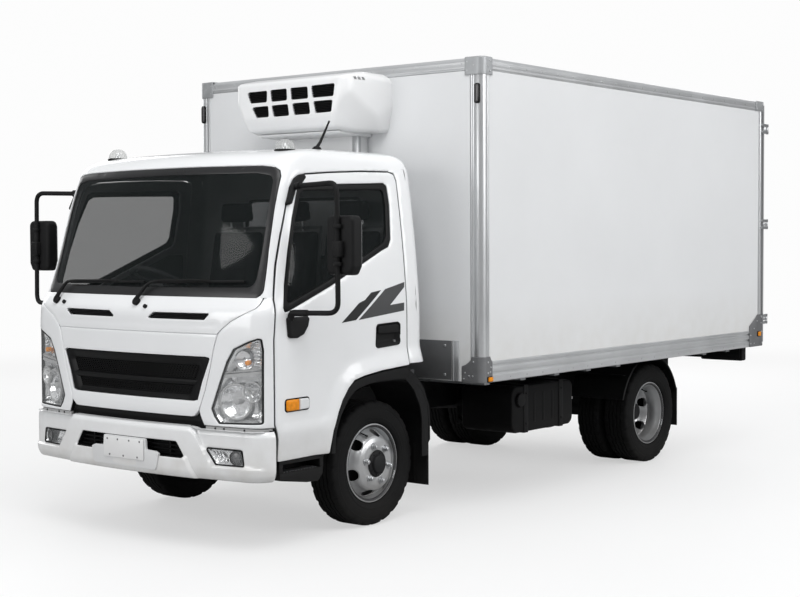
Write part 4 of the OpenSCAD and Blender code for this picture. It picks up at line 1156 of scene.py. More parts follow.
# top ledge
n = 90
ss = np.linspace(-1010, 1010, n)
hz = np.where(np.abs(ss) < 500, 699.0, np.where(np.abs(ss) < 560, 699 - (np.abs(ss) - 500) / 60 * 14, 685.0))
r0 = bp_map(np.stack([ss, hz], 1), np.full(n, 8.0)); r1 = bp_map(np.stack([ss, hz + 2], 1), np.full(n, 34.0)); r2_ = bp_map(np.stack([ss, hz - 12], 1), np.full(n, 40.0))
V = [tuple(p) for r in (r0, r1, r2_) for p in r]
g.add(V, [(a * n + i, a * n + i + 1, (a + 1) * n + i + 1, (a + 1) * n + i) for a in range(2) for i in range(n - 1)], 0)
for y0 in (570, -630):
    g.add(*rbox(968, 996, y0, y0 + 60, 630, 898, 4), 1)
    g.add(*rbox(968, 1118, y0, y0 + 60, 625, 655, 4), 1)
g.obj("bumper_skin", [WHITE, BLACKP], "cab", 35, replaces=("bumper",), slot="white_paint")

# dark parts in the bumper: lower opening with its bars, and dark sheets in the gaps above and at the ends, painted
# shade for those gaps
g = Geo()
g.panel(panel_vf([(-475, 500), (475, 500), (430, 618), (-430, 618)], [], mapf=bp_map, thick=3, er=0, step=60, base=64), 0)
for z in (528, 552, 576):
    n = 60
    ys = np.linspace(-462 + (z - 507) * 0.46, 462 - (z - 507) * 0.46, n)
    rows = [bp_map(np.stack([ys, np.full(n, float(z + dz))], 1), np.full(n, float(d))) for dz, d in ((-5, 36), (5, 30), (5, 58), (-5, 58))]
    V = [tuple(p) for r in rows for p in r]
    g.add(V, [(a * n + i, a * n + i + 1, ((a + 1) % 4) * n + i + 1, ((a + 1) % 4) * n + i) for a in range(4) for i in range(n - 1)], 0)
for y in (-330, -165, 0, 165, 330):
    g.add(*rbox(1120, 1150, y - 5, y + 5, 505, 612, 2), 0)
# dark sheet behind the gap under the lamps and across the middle, and dark blocks in the gaps at the bumper's ends:
# painted shade for these gaps
g.panel(panel_vf(poly_sy([(-585, 640), (585, 640), (560, 760), (500, 765), (-500, 765), (-560, 760)], 30), [], thick=3, er=0, step=60, base=44), 0)
for q in (-1, 1):
    g.add(*rbox(960, 1008, min(q * 950, q * 986), max(q * 950, q * 986), 428, 692, 3), 0)
g.obj("bumper_grille", [BLACKP], "cab", 35, slot="black_plastic")
g = Geo()
st = [(float(s_of_y(590, 690)), 672.0), (float(s_of_y(590, 700)), 702.0), (float(s_of_y(965, 700)), 702.0), (float(s_of_x(992, 700)), 702.0), (float(s_of_x(992, 680)), 672.0)]
g.panel(panel_vf(st, [], thick=20, er=3, step=24, base=10), 0)
for y in (660, 720, 860):
    o = cabmap(np.array([[float(s_of_y(y, 692)), 692.0]]), np.array([9.0]))[0]
    g.add(*dome(o, (0.97, 0.24, 0), 6, -4, 4, 12, 4), 1)
g.mirror().obj("under_lamp_strips", [LGREY, SEAL], "cab", 35)

# blank plate and its holder; the holder takes a darker copy of the white paint, painted shade
g = Geo()
plate_o = rounded([(-258, 432), (258, 432), (272, 445), (290, 528), (262, 540), (186, 542), (178, 604), (-178, 604), (-186, 542), (-262, 540), (-290, 528), (-272, 445)], 6, 3)
v, f = prism(plate_o, "x", 1190, 1206, 3.0, 3)
g.add(v, f, 0)
v, f = prism(rounded([(-172, 478), (172, 478), (172, 598), (-172, 598)], 8, 4), "x", 1209, 1214, 1.4, 2)
g.add(v, f, 1)
for y in (-140, -50, 50, 140):
    g.add(*dome((1211, y, 584), "x", 6, 0, 5.5, 14, 4), 2)
for y in (-120, 0, 120):
    g.add(*dome((1211, y, 492), "x", 6, 0, 5.5, 14, 4), 2)
for y in (-100, 100):
    g.add(*rbox(1120, 1190, y - 20, y + 20, 440, 500, 4), 0)
g.obj("number_plate_holder", [BRACKW_SHADED, PLATEW, SHEET], "cab", 35, slot="white_paint")

# fog lamps
g = Geo()
fo = rounded(FOG, 12, 3)
def fog_well(V):
    P = np.array(fo)
    return np.clip(seg_dist(V, P, np.roll(P, -1, 0)) * 0.9, 0, 26)
g.panel(panel_vf(grow(fo, -3), [], mapf=bp_map, thick=40, er=0, step=10, base=26, shape=fog_well, back=False), 0)
g.panel(panel_vf(grow(fo, 2), [grow(fo, -7)], mapf=bp_map, thick=14, er=2, step=12, base=22), 1)
o = bp_map(np.array([[810.0, 536.0]]), np.array([47.0]))[0]
ax = (0.97, 0.24, 0)
g.add(*lathe([(40, -6), (40, 20), (35, 22), (33, 16), (33, 0), (0.5, -2)], o, ax, 40, closed=False), 1)
g.add(*lathe([(32, 10), (24, 15), (12, 18), (0.5, 19)], o, ax, 32, closed=False), 3)
for k in range(6):
    u0 = 640 + k * 22
    n = 8
    zs = np.linspace(502, 572, n)
    sh = (584 - zs) * 0.55
    rows = [bp_map(np.stack([u0 + sh + du, zs], 1), np.full(n, float(d))) for du, d in ((-10, 51), (0, 39), (10, 51))]
    V = [tuple(p) for r in rows for p in r]
    if u0 + 40 > 760: continue
    g.add(V, [(a * n + i, a * n + i + 1, (a + 1) * n + i + 1, (a + 1) * n + i) for a in range(2) for i in range(n - 1)], 0)
g.mirror().obj("fog_lamp_units", [LAMPR, BLACKG, LGREY, SMOKE], "cab", 35, replaces=("fog_lamps",), slot="lamp")
g = Geo()
g.panel(panel_vf(grow(fo, -5), [], mapf=bp_map, thick=3, er=1.5, step=30, base=23), 0)
g.mirror().obj("fog_lamp_lenses", [LENS], "cab", 40, slot="lamp")

# ---------------------------------------------------------------- wipers
g = Geo()
def on_cab(y, z, d):
    s = float(s_of_y(y, z))
    return cabmap(np.array([[s, float(z)]]), np.array([float(d)]))[0]
for piv, link, mid_, tip in (((-745, 1378), (-658, 1369), (-626, 1497), (54, 1501)), ((37, 1386), (125, 1362), (136, 1508), (804, 1511))):
    a0 = (piv[0] + 40, 1471)
    g.add(*dome(on_cab(*piv, 0), (0.9, 0, 0.44), 24, -6, 26, 24, 5), 0)
    g.add(*dome(on_cab(*link, 0), (0.9, 0, 0.44), 12, -6, 16, 20, 5), 0)
    pth = fillet_path([on_cab(*piv, -20), on_cab(piv[0] + 25, 1430, -26), on_cab(piv[0] + 60, 1485, -24), on_cab(mid_[0] + 40, mid_[1] - 2, -22), on_cab((mid_[0] + tip[0]) / 2, (mid_[1] + tip[1]) / 2 + 2, -20)], 40)
    g.add(*tube(pth, [13 - 7 * i / (len(pth) - 1) for i in range(len(pth))], 10), 0)
    # blade
    n = 26
    ys = np.linspace(mid_[0] - 30, tip[0], n); zs = np.linspace(mid_[1] - 10, tip[1], n)
    rows = []
    for dz, d in ((7, -10), (4, -17), (-4, -17), (-7, -10), (-2, 2), (2, 2)):
        rows.append(np.array([on_cab(y, z + dz, d) for y, z in zip(ys, zs)]))
    V = [tuple(p) for r in rows for p in r]
    m = len(rows)
    F = [(a * n + i, a * n + i + 1, ((a + 1) % m) * n + i + 1, ((a + 1) % m) * n + i) for a in range(m) for i in range(n - 1)] + [tuple(a * n for a in range(m)), tuple(a * n + n - 1 for a in reversed(range(m)))]
    g.add(V, F, 0)
    c = [(mid_[0] + tip[0]) / 2, (mid_[1] + tip[1]) / 2]
    g.add(*tube([on_cab(c[0] - 110, c[1] - 1, -16), on_cab(c[0] - 50, c[1] + 2, -24), on_cab(c[0] + 50, c[1] + 2, -24), on_cab(c[0] + 110, c[1] - 1, -16)], 6, 8), 0)
g.obj("wipers", [BLACKP], "cab", 40, slot="black_plastic")
# ---------------------------------------------------------------- doors
HANDLE = [(112, 1104), (104, 1236), (-98, 1243), (-119, 1232), (-118, 1107), (90, 1096)]
ST_A = [(424, 1261), (294, 1272), (51, 1441), (147, 1429), (207, 1387), (263, 1371)]
ST_B = [(271, 1271), (-161, 1310), (-164, 1359), (-27, 1349), (-173, 1453), (-178, 1484), (12, 1446)]
TURN = rounded([(712, 789), (908, 787), (908, 855), (712, 857)], 16, 4)


def cab_door(side):
    body = "left_cab_door" if side > 0 else "right_cab_door"
    pre = "left" if side > 0 else "right"
    def fin(g, name, mats, replaces=(), slot=None, sharp=38):
        if side < 0:
            g.v = [(p[0], -p[1], p[2]) for p in g.v]; g.f = [tuple(reversed(f)) for f in g.f]
        return g.obj(pre + name, mats, body, sharp, replaces=replaces, slot=slot)
    hand = rounded(HANDLE, 22, 5)
    g = Geo()
    g.panel(panel_vf(poly_sx(rounded(DOOR, 12, 3)), [poly_sx(rounded(WINDOW, 12, 3)), poly_sx(hand, 12)], thick=38, er=5, step=28), 0, 1)
    # inner trim with arm rest; the map pocket shape below is not applied
    trim = [(-150, 1010), (-150, 1650), (-20, 1645), (860, 1315), (930, 1290), (940, 760), (620, 610), (560, 640), (500, 760), (400, 900), (250, 965)]
    def pocket(V):
        r = ramp(V, [(s, z) for s, z in poly_sx([(150, 1020), (820, 1020), (820, 800), (560, 800)])], 30.0)
        return 9.0 * r
    g.panel(panel_vf(poly_sx(rounded(trim, 30, 3)), [], thick=9, er=3, step=40, base=39, shape=None), 2, 2)
    g.add(*rbox(60, 640, 906, 952, 1190, 1232, 12, 3), 2)
    g.add(*rbox(480, 640, 892, 930, 1232, 1246, 5, 2), 1)
    g.add(*rbox(170, 300, 925, 952, 1300, 1330, 6, 2), 1)
    fin(g, "_door_skin", [WHITE, GREYP, DASH], (pre + "_door",), "white_paint")
    # handle cup and flap
    g = Geo()
    hp = np.array(poly_sx(hand, 10))
    def cup(V):
        d = seg_dist(V, hp, np.roll(hp, -1, 0))
        return np.where(d < 8, d * 0.5, np.clip(4 + (d - 8) * 0.9, 0, 26)) - np.clip(4 - d, 0, 4) * 0.8
    g.panel(panel_vf(poly_sx(grow(hand, 2.5), 10), [], thick=30, er=2, step=9, base=-2, shape=cup, back=False), 0)
    flap = rounded([(92, 1180), (86, 1226), (-90, 1232), (-106, 1222), (-104, 1180)], 10, 3)
    g.panel(panel_vf(poly_sx(flap, 10), [], thick=7, er=5, step=12, base=-3), 0)
    lk = cabmap(np.array([[float(s_of_x(-82.0, 1128.0)), 1128.0]]), np.array([16.0]))[0]
    g.add(*lathe([(9, -8), (9, 4), (7.5, 6), (2.5, 6), (2.5, 3), (0.5, 3)], lk, "y", 24, closed=False), 1)
    fin(g, "_door_handle", [BLACKP, CASTD])
    # stripes
    g = Geo()
    g.panel(panel_vf(poly_sx(ST_A), [], thick=0.7, er=0, step=40, base=-0.9), 0)
    g.panel(panel_vf(poly_sx(ST_B), [], thick=0.7, er=0, step=40, base=-0.9), 1)
    fin(g, "_door_stripes", [DECALD, DECALG])
    # side turn lamp: amber part ahead, clear part behind
    g = Geo()
    g.panel(panel_vf(poly_sx(grow(TURN, 4), 12), [], thick=8, er=3, step=14, base=-4), 2)
    am = rounded([(800, 791), (904, 790), (904, 852), (800, 853)], [3, 14, 14, 3], 4)
    cl = rounded([(716, 793), (796, 791), (796, 853), (716, 852)], [14, 3, 3, 14], 4)
    g.panel(panel_vf(poly_sx(am, 10), [], thick=12, er=8, step=9, base=-13), 0)
    g.panel(panel_vf(poly_sx(cl, 10), [], thick=12, er=8, step=9, base=-13), 1)
    fin(g, "_turn_lamp", [AMBER, CLEARL, BLACKP], slot="lamp")
    # glass and its border
    g = Geo()
    dl = rounded(DLO, 14, 3)
    g.panel(panel_vf(poly_sx(rounded(grow(WINDOW, -2), 12, 3)), [poly_sx(dl)], thick=16, er=4, step=22, base=5), 0)
    fin(g, "_window_seal", [BLACKG])
    g = Geo()
    g.panel(panel_vf(poly_sx(grow(dl, 6)), [], thick=5, er=0, step=60, base=12), 0)
    fin(g, "_door_pane", [DGLASS], (pre + "_door_glass",), "glass")
    # mirror
    g = Geo()
    path = fillet_path([(741, 922, 2046), (803, 1299, 2056), (805, 1307, 1342), (876, 1018, 1338)], 62, 9)
    g.add(*tube(path, 14.5, 18), 0)
    up = rounded([(822, 1935), (786, 1942), (742, 2034), (690, 2062), (648, 2098), (664, 2117), (700, 2112), (742, 2090), (772, 2044)], 14, 4)
    g.panel(panel_vf(poly_sx(up, 12), [], thick=30, er=13, step=10, base=-26), 0)
    g.add(*tube([(742, 925, 2046), (752, 985, 2048)], 22, 18), 0)
    lo = rounded([(897, 1314), (885, 1206), (868, 1197), (812, 1195), (762, 1214), (727, 1258), (712, 1312)], 14, 4)
    g.panel(panel_vf(poly_sx(lo, 12), [], thick=24, er=12, step=10, base=-21), 0)
    g.add(*tube(fillet_path([(868, 1010, 1300), (868, 1020, 1338), (850, 1122, 1339)], 18, 5), 19, 16), 0)
    head = rounded([(1207, 1876), (1404, 1876), (1404, 1596), (1378, 1549), (1207, 1549)], [36, 36, 20, 22, 36], 6)
    v, f = prism(head, "x", 704, 790, 26, 5, 60)
    g.add(v, f, 0)
    v, f = prism(rounded([(1219, 1862), (1392, 1862), (1392, 1604), (1370, 1563), (1219, 1563)], [28, 28, 16, 18, 28], 5), "x", 700, 706, 1.5, 2, 60)
    g.add(v, f, 1)
    g.add(*rbox(776, 828, 1280, 1338, 1648, 1738, 9, 3), 0)
    g.add(*rbox(700, 830, 1298, 1318, 1688, 1696, 2, 1), 0)
    for z in (1600, 1806):
        g.add(*lathe([(21, 0), (23, 3), (23, 19), (21, 22), (14, 22), (14, 0)], (805, 1306, z), "z", 24), 0)
    for p in ((880, 1024, 1290), (872, 1024, 1224), (760, 1024, 1262)):
        g.add(*dome((p[0], p[1] - 4, p[2]), "y", 7, 0, 5, 14, 4), 0)
    fin(g, "_mirror_assembly", [BLACKP, CHROME], (pre + "_mirror",), "black_plastic")


cab_door(1)
cab_door(-1)

# ---------------------------------------------------------------- wheel arches, steps
def resample(pts, n):
    p = np.array(pts, float)
    d = np.concatenate([[0], np.cumsum(np.linalg.norm(np.diff(p, axis=0), axis=1))])
    t = np.linspace(0, d[-1], n)
    fx, fz = hermite(d, p[:, 0]), hermite(d, p[:, 1])
    return np.stack([fx(t), fz(t)], 1)


def loft(sections, close=True, cap=True):
    """rows of points of equal length joined into a skin; each row is a closed loop"""
    n = len(sections[0]); m = len(sections)
    v = [tuple(p) for s in sections for p in s]
    f = [(i * n + j, i * n + (j + 1) % n, (i + 1) * n + (j + 1) % n, (i + 1) * n + j) for i in range(m - 1) for j in range(n)]
    if cap: f += [tuple(range(n - 1, -1, -1)), tuple((m - 1) * n + j for j in range(n))]
    return v, f


n = 40
inner = resample([(492, 512), (490, 560), (486, 600), (452, 699), (407, 765), (352, 824), (261, 869), (122, 888), (-21, 889), (-172, 882)], n)
outer = resample([(531, 512), (527, 560), (511, 645), (470, 744), (435, 808), (382, 872), (330, 913), (240, 933), (72, 953), (-182, 970)], n)
secs = []
for k in range(n):
    I, O = inner[k], outer[k]
    d = (O - I)
    row = []
    for a, y in ((1.0, 970), (1.0, 1008), (0.92, 1015), (0.5, 1018), (0.12, 1013), (0.0, 1000), (0.0, 800), (0.0, 562), (0.14, 562), (0.14, 800), (0.2, 970), (0.6, 975)):
        q = I + d * a
        row.append((q[0], y, q[1]))
    secs.append(row)
g = Geo()
g.add(*loft(secs), 0)
g.add(*rbox(-20, 20, 570, 900, 893, 900, 2), 0)
g.mirror().obj("wheel_arch_flares", [BLACKP, SEAL], "cab", 40, replaces=("arch_liners",), slot="black_plastic")

# steps
g = Geo()
tub = [(606, 366), (566, 400), (560, 470), (552, 508), (924, 508), (930, 470), (924, 402), (700, 370)]
g.add(*prism(rounded(tub, 10, 3), "y", 790, 862, 4, 2), 0)
g.add(*prism(rounded([(604, 362), (566, 398), (560, 440), (926, 440), (922, 400), (700, 366)], 8, 3), "y", 850, 974, 6, 3), 0)
g.add(*prism(rounded([(560, 489), (552, 510), (926, 510), (930, 489)], 5, 3), "y", 850, 974, 5, 3), 0)
for x0 in (556, 896):
    g.add(*prism([(x0, 436), (x0 - 2, 494), (x0 + 32, 494), (x0 + 30, 436)], "y", 850, 972, 4, 2), 0)
for k in range(12):
    g.add(*rbox(606 + k * 24, 614 + k * 24, 868, 962, 439, 445, 2), 1)
g.add(*rbox(568, 596, 780, 940, 500, 898, 4), 0)
g.mirror().obj("step_boxes", [BLACKP, SHEET], "cab", 40, replaces=("cab_steps",), slot="black_plastic")

# mudguards behind the front wheels, on the frame
path = resample([(-184, 880), (-262, 862), (-340, 822), (-398, 762), (-436, 690), (-446, 600), (-446, 520), (-446, 360), (-446, 196)], 44)
secs = []
for k, p in enumerate(path):
    a = path[max(0, k - 1)]; b = path[min(len(path) - 1, k + 1)]
    t = (b - a) / np.linalg.norm(b - a)
    nn = np.array([t[1], -t[0]])
    if nn[0] > 0 or (abs(nn[0]) < 1e-6): nn = -nn
    if p[1] > 800 and nn[1] < 0: nn = -nn
    flap = p[1] < 470
    h = 5 if flap else 22
    row = []
    for y, o in ((562, 0), (940, 0), (958, 2), (966, 10), (966, h), (956, h), (950, 9), (936, 7), (562, 7)):
        q = p + nn * o
        row.append((q[0], y if not flap else min(y, 962), q[1]))
    secs.append(row)
g = Geo()
g.add(*loft(secs), 0)
for y in (620, 700, 780, 860):
    g.add(*rbox(-440, -436, y - 8, y + 8, 210, 460, 2), 0)
fl = rounded([(-200, 958), (-254, 947), (-344, 885), (-409, 816), (-437, 745), (-449, 640), (-449, 384), (-386, 384), (-386, 617), (-370, 699), (-306, 808), (-242, 866), (-200, 884)], [4, 30, 60, 50, 40, 40, 6, 6, 40, 60, 60, 30, 4], 5)
g.add(*prism(fl, "y", 953, 965, 3, 3), 0)
g.add(*rbox(-474, -452, 372, 590, 604, 636, 5), 1)
g.add(*rbox(-456, -450, 570, 950, 470, 500, 2), 1)
for y in (600, 720, 840, 930):
    g.add(*dome((-452, y, 485), (-1, 0, 0), 9, -2, 8, 6, 3), 2)
g.mirror().obj("front_guards_rear_half", [BLACKP, FRAMEB, STEEL], "chassis", 40, replaces=("front_mudguards",), slot="black_plastic")

# mudguards over the twin wheels
WB = 3300.0
g = Geo()
arc = []
a0, a1 = math.asin((520 - 382) / 449), math.pi - math.asin((520 - 382) / 449)
for k in range(41):
    a = a0 + (a1 - a0) * k / 40
    arc.append((a, 449))
secs = []
for a, r in arc:
    c, s = math.cos(a), math.sin(a)
    row = [(-WB + c * q, y, 382 + s * q) for y, q in ((502, 447), (948, 447), (962, 446), (972, 440), (978, 446), (972, 456), (956, 455), (944, 453), (502, 453))]
    secs.append(row)
g.add(*loft(secs), 0)
g.add(*rbox(-WB - 452, -WB - 443, 502, 966, 240, 545, 4), 0)
for y in (560, 650, 740, 830, 910):
    g.add(*rbox(-WB - 455, -WB - 450, y - 9, y + 9, 256, 520, 2), 0)
g.add(*rbox(-WB - 458, -WB - 450, 510, 960, 516, 542, 2), 1)
for y in (540, 660, 780, 900):
    g.add(*dome((-WB - 457, y, 529), (-1, 0, 0), 9, -2, 8, 6, 3), 2)
for x in (-330, 330):
    g.add(*tube([(-WB + x, 372, 690), (-WB + x, 560, 690)], 15, 14), 1)
    g.add(*rbox(-WB + x - 40, -WB + x + 40, 520, 940, 693, 701, 3), 1)
g.mirror().obj("rear_wheel_guards", [BLACKP, FRAMEB, STEEL], "chassis", 40, replaces=("rear_mudguards",), slot="black_plastic")

# ---------------------------------------------------------------- roof beacons, aerial
def ribbed_dome(c, r, z0, z1, ribs=20, n=120, k=10):
    v, f = [], []
    prof = []
    for j in range(k + 1):
        t = j / k * math.pi / 2
        prof.append((r * math.cos(t) ** 0.75 if j < k else 0.4, z0 + (z1 - z0) * math.sin(t)))
    for i in range(n):
        a = 2 * math.pi * i / n
        for j, (q, z) in enumerate(prof):
            b = 1 + 0.035 * math.cos(ribs * a) * (1 - j / k)
            v.append((c[0] + q * b * math.cos(a), c[1] + q * b * math.sin(a), z))
    m = k + 1
    for i in range(n):
        for j in range(k):
            f.append((i * m + j, ((i + 1) % n) * m + j, ((i + 1) % n) * m + j + 1, i * m + j + 1))
    return v, f


g = Geo()
g.add(*lathe([(0.5, 2230), (60, 2232), (64, 2250), (65, 2260), (63, 2266), (57, 2269), (0.5, 2269)], (599, 729, 0), "z", 48, closed=False), 0)
g.add(*ribbed_dome((599, 729), 57, 2266, 2328), 1)
g.add(*lathe([(0.5, 2268), (18, 2268), (18, 2290), (10, 2302), (0.5, 2304)], (599, 729, 0), "z", 24, closed=False), 2)
g.mirror().obj("roof_beacon_lamps", [BLACKP, DOME, CHROME], "cab", 40, replaces=("roof_beacons",), slot="lamp")
g = Geo()
g.add(*lathe([(35, -16), (35, 6), (33, 18), (28, 30), (20, 39), (10, 44.5), (0.5, 46)], (300, 706, 2258), (-0.08, 0.06, 1), 32, closed=False), 0)
g.add(*tube([(296, 708, 2296), (272, 711, 2326), (242, 716, 2380), (212, 721, 2436), (202, 723, 2456)], [11, 9, 7.5, 6, 6.5], 10), 0)
g.obj("roof_aerial", [BLACKP], "cab", 40, slot="black_plastic")
# ---------------------------------------------------------------- box body: rails, posts, corner castings
BX0, BX1, BH = -4629.0, -716.0, 1252.0


def rivets(g, pts, axis, r=6, h=3.2, mi=0):
    for p in pts:
        g.add(*dome(p, axis, r, -2, h, 10, 3), mi)


def arcpts(cx, cz, r, a0, a1, n=5):
    return [(cx + r * math.cos(math.radians(a0 + (a1 - a0) * i / n)), cz + r * math.sin(math.radians(a0 + (a1 - a0) * i / n))) for i in range(n + 1)]


g = Geo()
# top side rail, (y, z): rounded roof edge, flange over the wall, drip lip
top = [(1176, 2802), (1249, 2802), (1249, 2808), (1253, 2810), (1253, 2820), (1249, 2823), (1249, 2828), (1251, 2831), (1251, 2852)] + arcpts(1223, 2853, 28, 2, 90, 6) + [(1176, 2881)]
g.add(*prism(top, "x", BX0, BX1, 0.8, 1, 30), 0)
# bottom side rail: two ribs with a groove and a lip under the wall
bot = [(1176, 838), (1246, 838), (1251, 843), (1252, 880), (1250, 886), (1243, 890), (1243, 899), (1250, 903), (1253, 909), (1253, 930), (1250, 936), (1244, 939), (1244, 946), (1250, 949), (1254, 955), (1254, 968), (1250, 974), (1176, 974)]
g.add(*prism(bot, "x", BX0, BX1, 0.8, 1, 30), 0)
g.mirror()
# front top rail, (x, z)
ft = [(-714, 2802), (-638, 2802), (-636, 2806), (-636, 2812), (-632, 2815), (-632, 2824), (-636, 2828), (-636, 2852)] + arcpts(-664, 2853, 28, 2, 90, 6) + [(-714, 2881)]
g.add(*prism(ft, "y", -1158, 1158, 0.8, 1, 30), 0)
# rear rails, above and below the doors
rt = [(-4630, 2802), (-4702, 2802), (-4704, 2806), (-4704, 2852)] + [(-a, b) for a, b in arcpts(4676, 2853, 28, 2, 90, 6)] + [(-4630, 2881)]
g.add(*prism(rt, "y", -1175, 1175, 0.8, 1, 30), 0)
rb = [(-4630, 838), (-4702, 838), (-4704, 842), (-4704, 850), (-4700, 854), (-4700, 962), (-4704, 966), (-4704, 971), (-4630, 971)]
g.add(*prism(rb, "y", -1175, 1175, 0.8, 1, 30), 0)
for s in (-1, 1):
    rivets(g, [(x, s * 1251.5, 2840) for x in np.arange(-4560, -760, 190.0)], (0, s, 0), 5.5, 2.6, 1)
    rivets(g, [(x, s * 1251.5, 862) for x in np.arange(-4560, -760, 190.0)], (0, s, 0), 5.5, 2.6, 1)
rivets(g, [(-636, y, 2842) for y in np.arange(-1090, 1100, 182.0)], (1, 0, 0), 5.5, 2.6, 1)
rivets(g, [(-4703, y, 900) for y in np.arange(-1100, 1101, 220.0)], (-1, 0, 0), 5.5, 2.6, 1)
g.obj("body_rails", [ALU, STEEL], "chassis", 32, replaces=("box_rails",), slot="rail_aluminium")

g = Geo()
# front corner post, (x, y): fluted aluminium with a round outer edge
fp = [(-714, 1160), (-640, 1160), (-636, 1164), (-636, 1176), (-640, 1180), (-640, 1192), (-636, 1196), (-636, 1214)] + arcpts(-674, 1214, 38, 0, 90, 7) + [(-688, 1252), (-692, 1248), (-700, 1248), (-704, 1252), (-712, 1252), (-714, 1250)]
g.add(*prism(fp, "z", 839, 2880, 0.8, 1, 30), 0)
# rear post
rp = [(-4631, 1176), (-4631, 1250), (-4636, 1252), (-4646, 1252), (-4650, 1248), (-4660, 1248), (-4664, 1252), (-4678, 1252)] + [(-a, b) for a, b in arcpts(4678, 1226, 26, 90, 0, 6)] + [(-4704, 1182), (-4700, 1176)]
g.add(*prism(rp, "z", 839, 2880, 0.8, 1, 30), 0)
# hinge lugs on the rear posts
HXX, HYY = -4815.0, 1240.0
for z0 in (1060, 1860, 2660):
    for s in (-1, 1):
        z = z0 + s * 29
        g.add(*lathe([(0.5, -13), (9.5, -13), (10.5, -11.5), (10.5, 11.5), (9.5, 13), (0.5, 13)], (HXX, HYY, z), "z", 28, closed=False), 1)
        g.add(*prism([(HXX, 1245), (HXX + 4, 1256), (-4700, 1257), (-4664, 1257), (-4664, 1247), (-4700, 1247)], "z", z - 12, z + 12, 2, 2), 1)
        rivets(g, [(-4690, 1257, z), (-4672, 1257, z)], (0, 1, 0), 5, 3, 1)
g.mirror()
g.obj("body_posts", [ALUV, STEEL], "chassis", 32, replaces=("box_posts",), slot="rail_aluminium")

# corner castings
g = Geo()
def wrap(outer, t=5.0):
    """a plate folded round the front corner: outline in (s, z), s from the edge, + along the side, - along the front"""
    def m(uv, depth):
        s, z = uv[:, 0], uv[:, 1]
        r = 38.0 + t
        q = r * math.pi / 4
        a = np.clip((s + q) / r, 0, math.pi / 2)
        x = np.where(s < -q, -674.0 + r, np.where(s > q, -674.0 - (s - q), -674.0 + r * np.cos(a)))
        y = np.where(s < -q, 1214.0 + (s + q), np.where(s > q, 1214.0 + r, 1214.0 + r * np.sin(a)))
        nx = np.where(s < -q, 1.0, np.where(s > q, 0.0, np.cos(a))); ny = np.where(s < -q, 0.0, np.where(s > q, 1.0, np.sin(a)))
        return np.stack([x - nx * depth, y - ny * depth, z], 1)
    return panel_vf(outer, [], mapf=m, thick=t - 0.4, er=1.6, step=11)
q0 = 43.0 * math.pi / 4
g.panel(wrap([(-(1214 - 1122) - q0, 2772), (71 + q0, 2772), (71 + q0, 2882), (-(1214 - 1122) - q0, 2882)]), 0)
low = [(-(1214 - 1093) - q0, 838), (66 + q0, 838), (66 + q0, 968), (50 + q0, 985), (42 + q0, 1003), (-42 - q0, 1003), (-48 - q0, 985), (-66 - q0, 968), (-88 - q0, 952), (-(1214 - 1093) - q0, 940)]
g.panel(wrap(low), 1)
# top plate of the upper casting
g.add(*prism(rounded([(-742, 1118), (-640, 1118), (-633, 1130), (-640, 1240), (-660, 1254), (-742, 1254)], 8, 3), "z", 2880, 2885, 1.5, 2), 0)
for p in ((-634, 1140, 2800), (-634, 1140, 2855), (-634, 1190, 2830)): rivets(g, [p], (1, 0, 0), 6, 4, 2)
for p in ((-715, 1258, 2795), (-715, 1258, 2860), (-690, 1258, 2826)): rivets(g, [p], (0, 1, 0), 6, 4, 2)
for p in ((-632, 1120, 900), (-632, 1150, 880), (-632, 1180, 880), (-632, 1185, 970), (-632, 1110, 860)): rivets(g, [p], (1, 0, 0), 6, 4, 2)
for p in ((-690, 1257, 900), (-715, 1257, 905), (-690, 1257, 968), (-720, 1257, 935)): rivets(g, [p], (0, 1, 0), 6, 4, 2)
# rear lower plate
rlp = rounded([(-4462, 838), (-4708, 838), (-4708, 1102), (-4616, 1104), (-4560, 1066), (-4462, 1012)], 8, 3)
g.add(*prism(rlp, "y", 1252.5, 1258, 1.6, 2), 1)
for p in ((-4482, 866), (-4482, 935), (-4545, 866), (-4545, 990), (-4600, 1050), (-4690, 1080), (-4690, 960), (-4690, 866)): rivets(g, [(p[0], 1258, p[1])], (0, 1, 0), 6, 4, 2)
# rear upper plate
g.add(*prism(rounded([(-4560, 2800), (-4706, 2800), (-4706, 2882), (-4560, 2882)], 8, 3), "y", 1252.5, 1257, 1.4, 2), 0)
for p in ((-4585, 2820), (-4585, 2862), (-4690, 2820), (-4690, 2862)): rivets(g, [(p[0], 1257, p[1])], (0, 1, 0), 6, 4, 2)
g.mirror().obj("corner_castings", [CASTA, CASTD, STEEL], "chassis", 35, slot="rail_aluminium")

# marker lamps
g = Geo()
def marker(x0, x1, z0, z1, y):
    g.add(*prism(rounded([(x0 - 4, z0 - 4), (x1 + 4, z0 - 4), (x1 + 4, z1 + 4), (x0 - 4, z1 + 4)], 6, 3), "y", y - 1, y + 5, 1.5, 2), 1)
    g.add(*prism(rounded([(x0, z0), (x1, z0), (x1, z1), (x0, z1)], 6, 4), "y", y + 4, y + 15, 5, 4), 0)
marker(-730, -684, 846, 874, 1257)
marker(-4652, -4606, 924, 960, 1258)
g.add(*prism(rounded([(1195, 2592), (1237, 2592), (1237, 2717), (1195, 2717)], 14, 4), "x", -640, -628, 3, 3), 1)
g.add(*prism(rounded([(1201, 2600), (1231, 2600), (1231, 2709), (1201, 2709)], 10, 4), "x", -630, -619, 5, 4), 2)
g.mirror().obj("marker_lamps", [AMBER, BLACKP, SMOKE], "chassis", 35, slot="lamp")

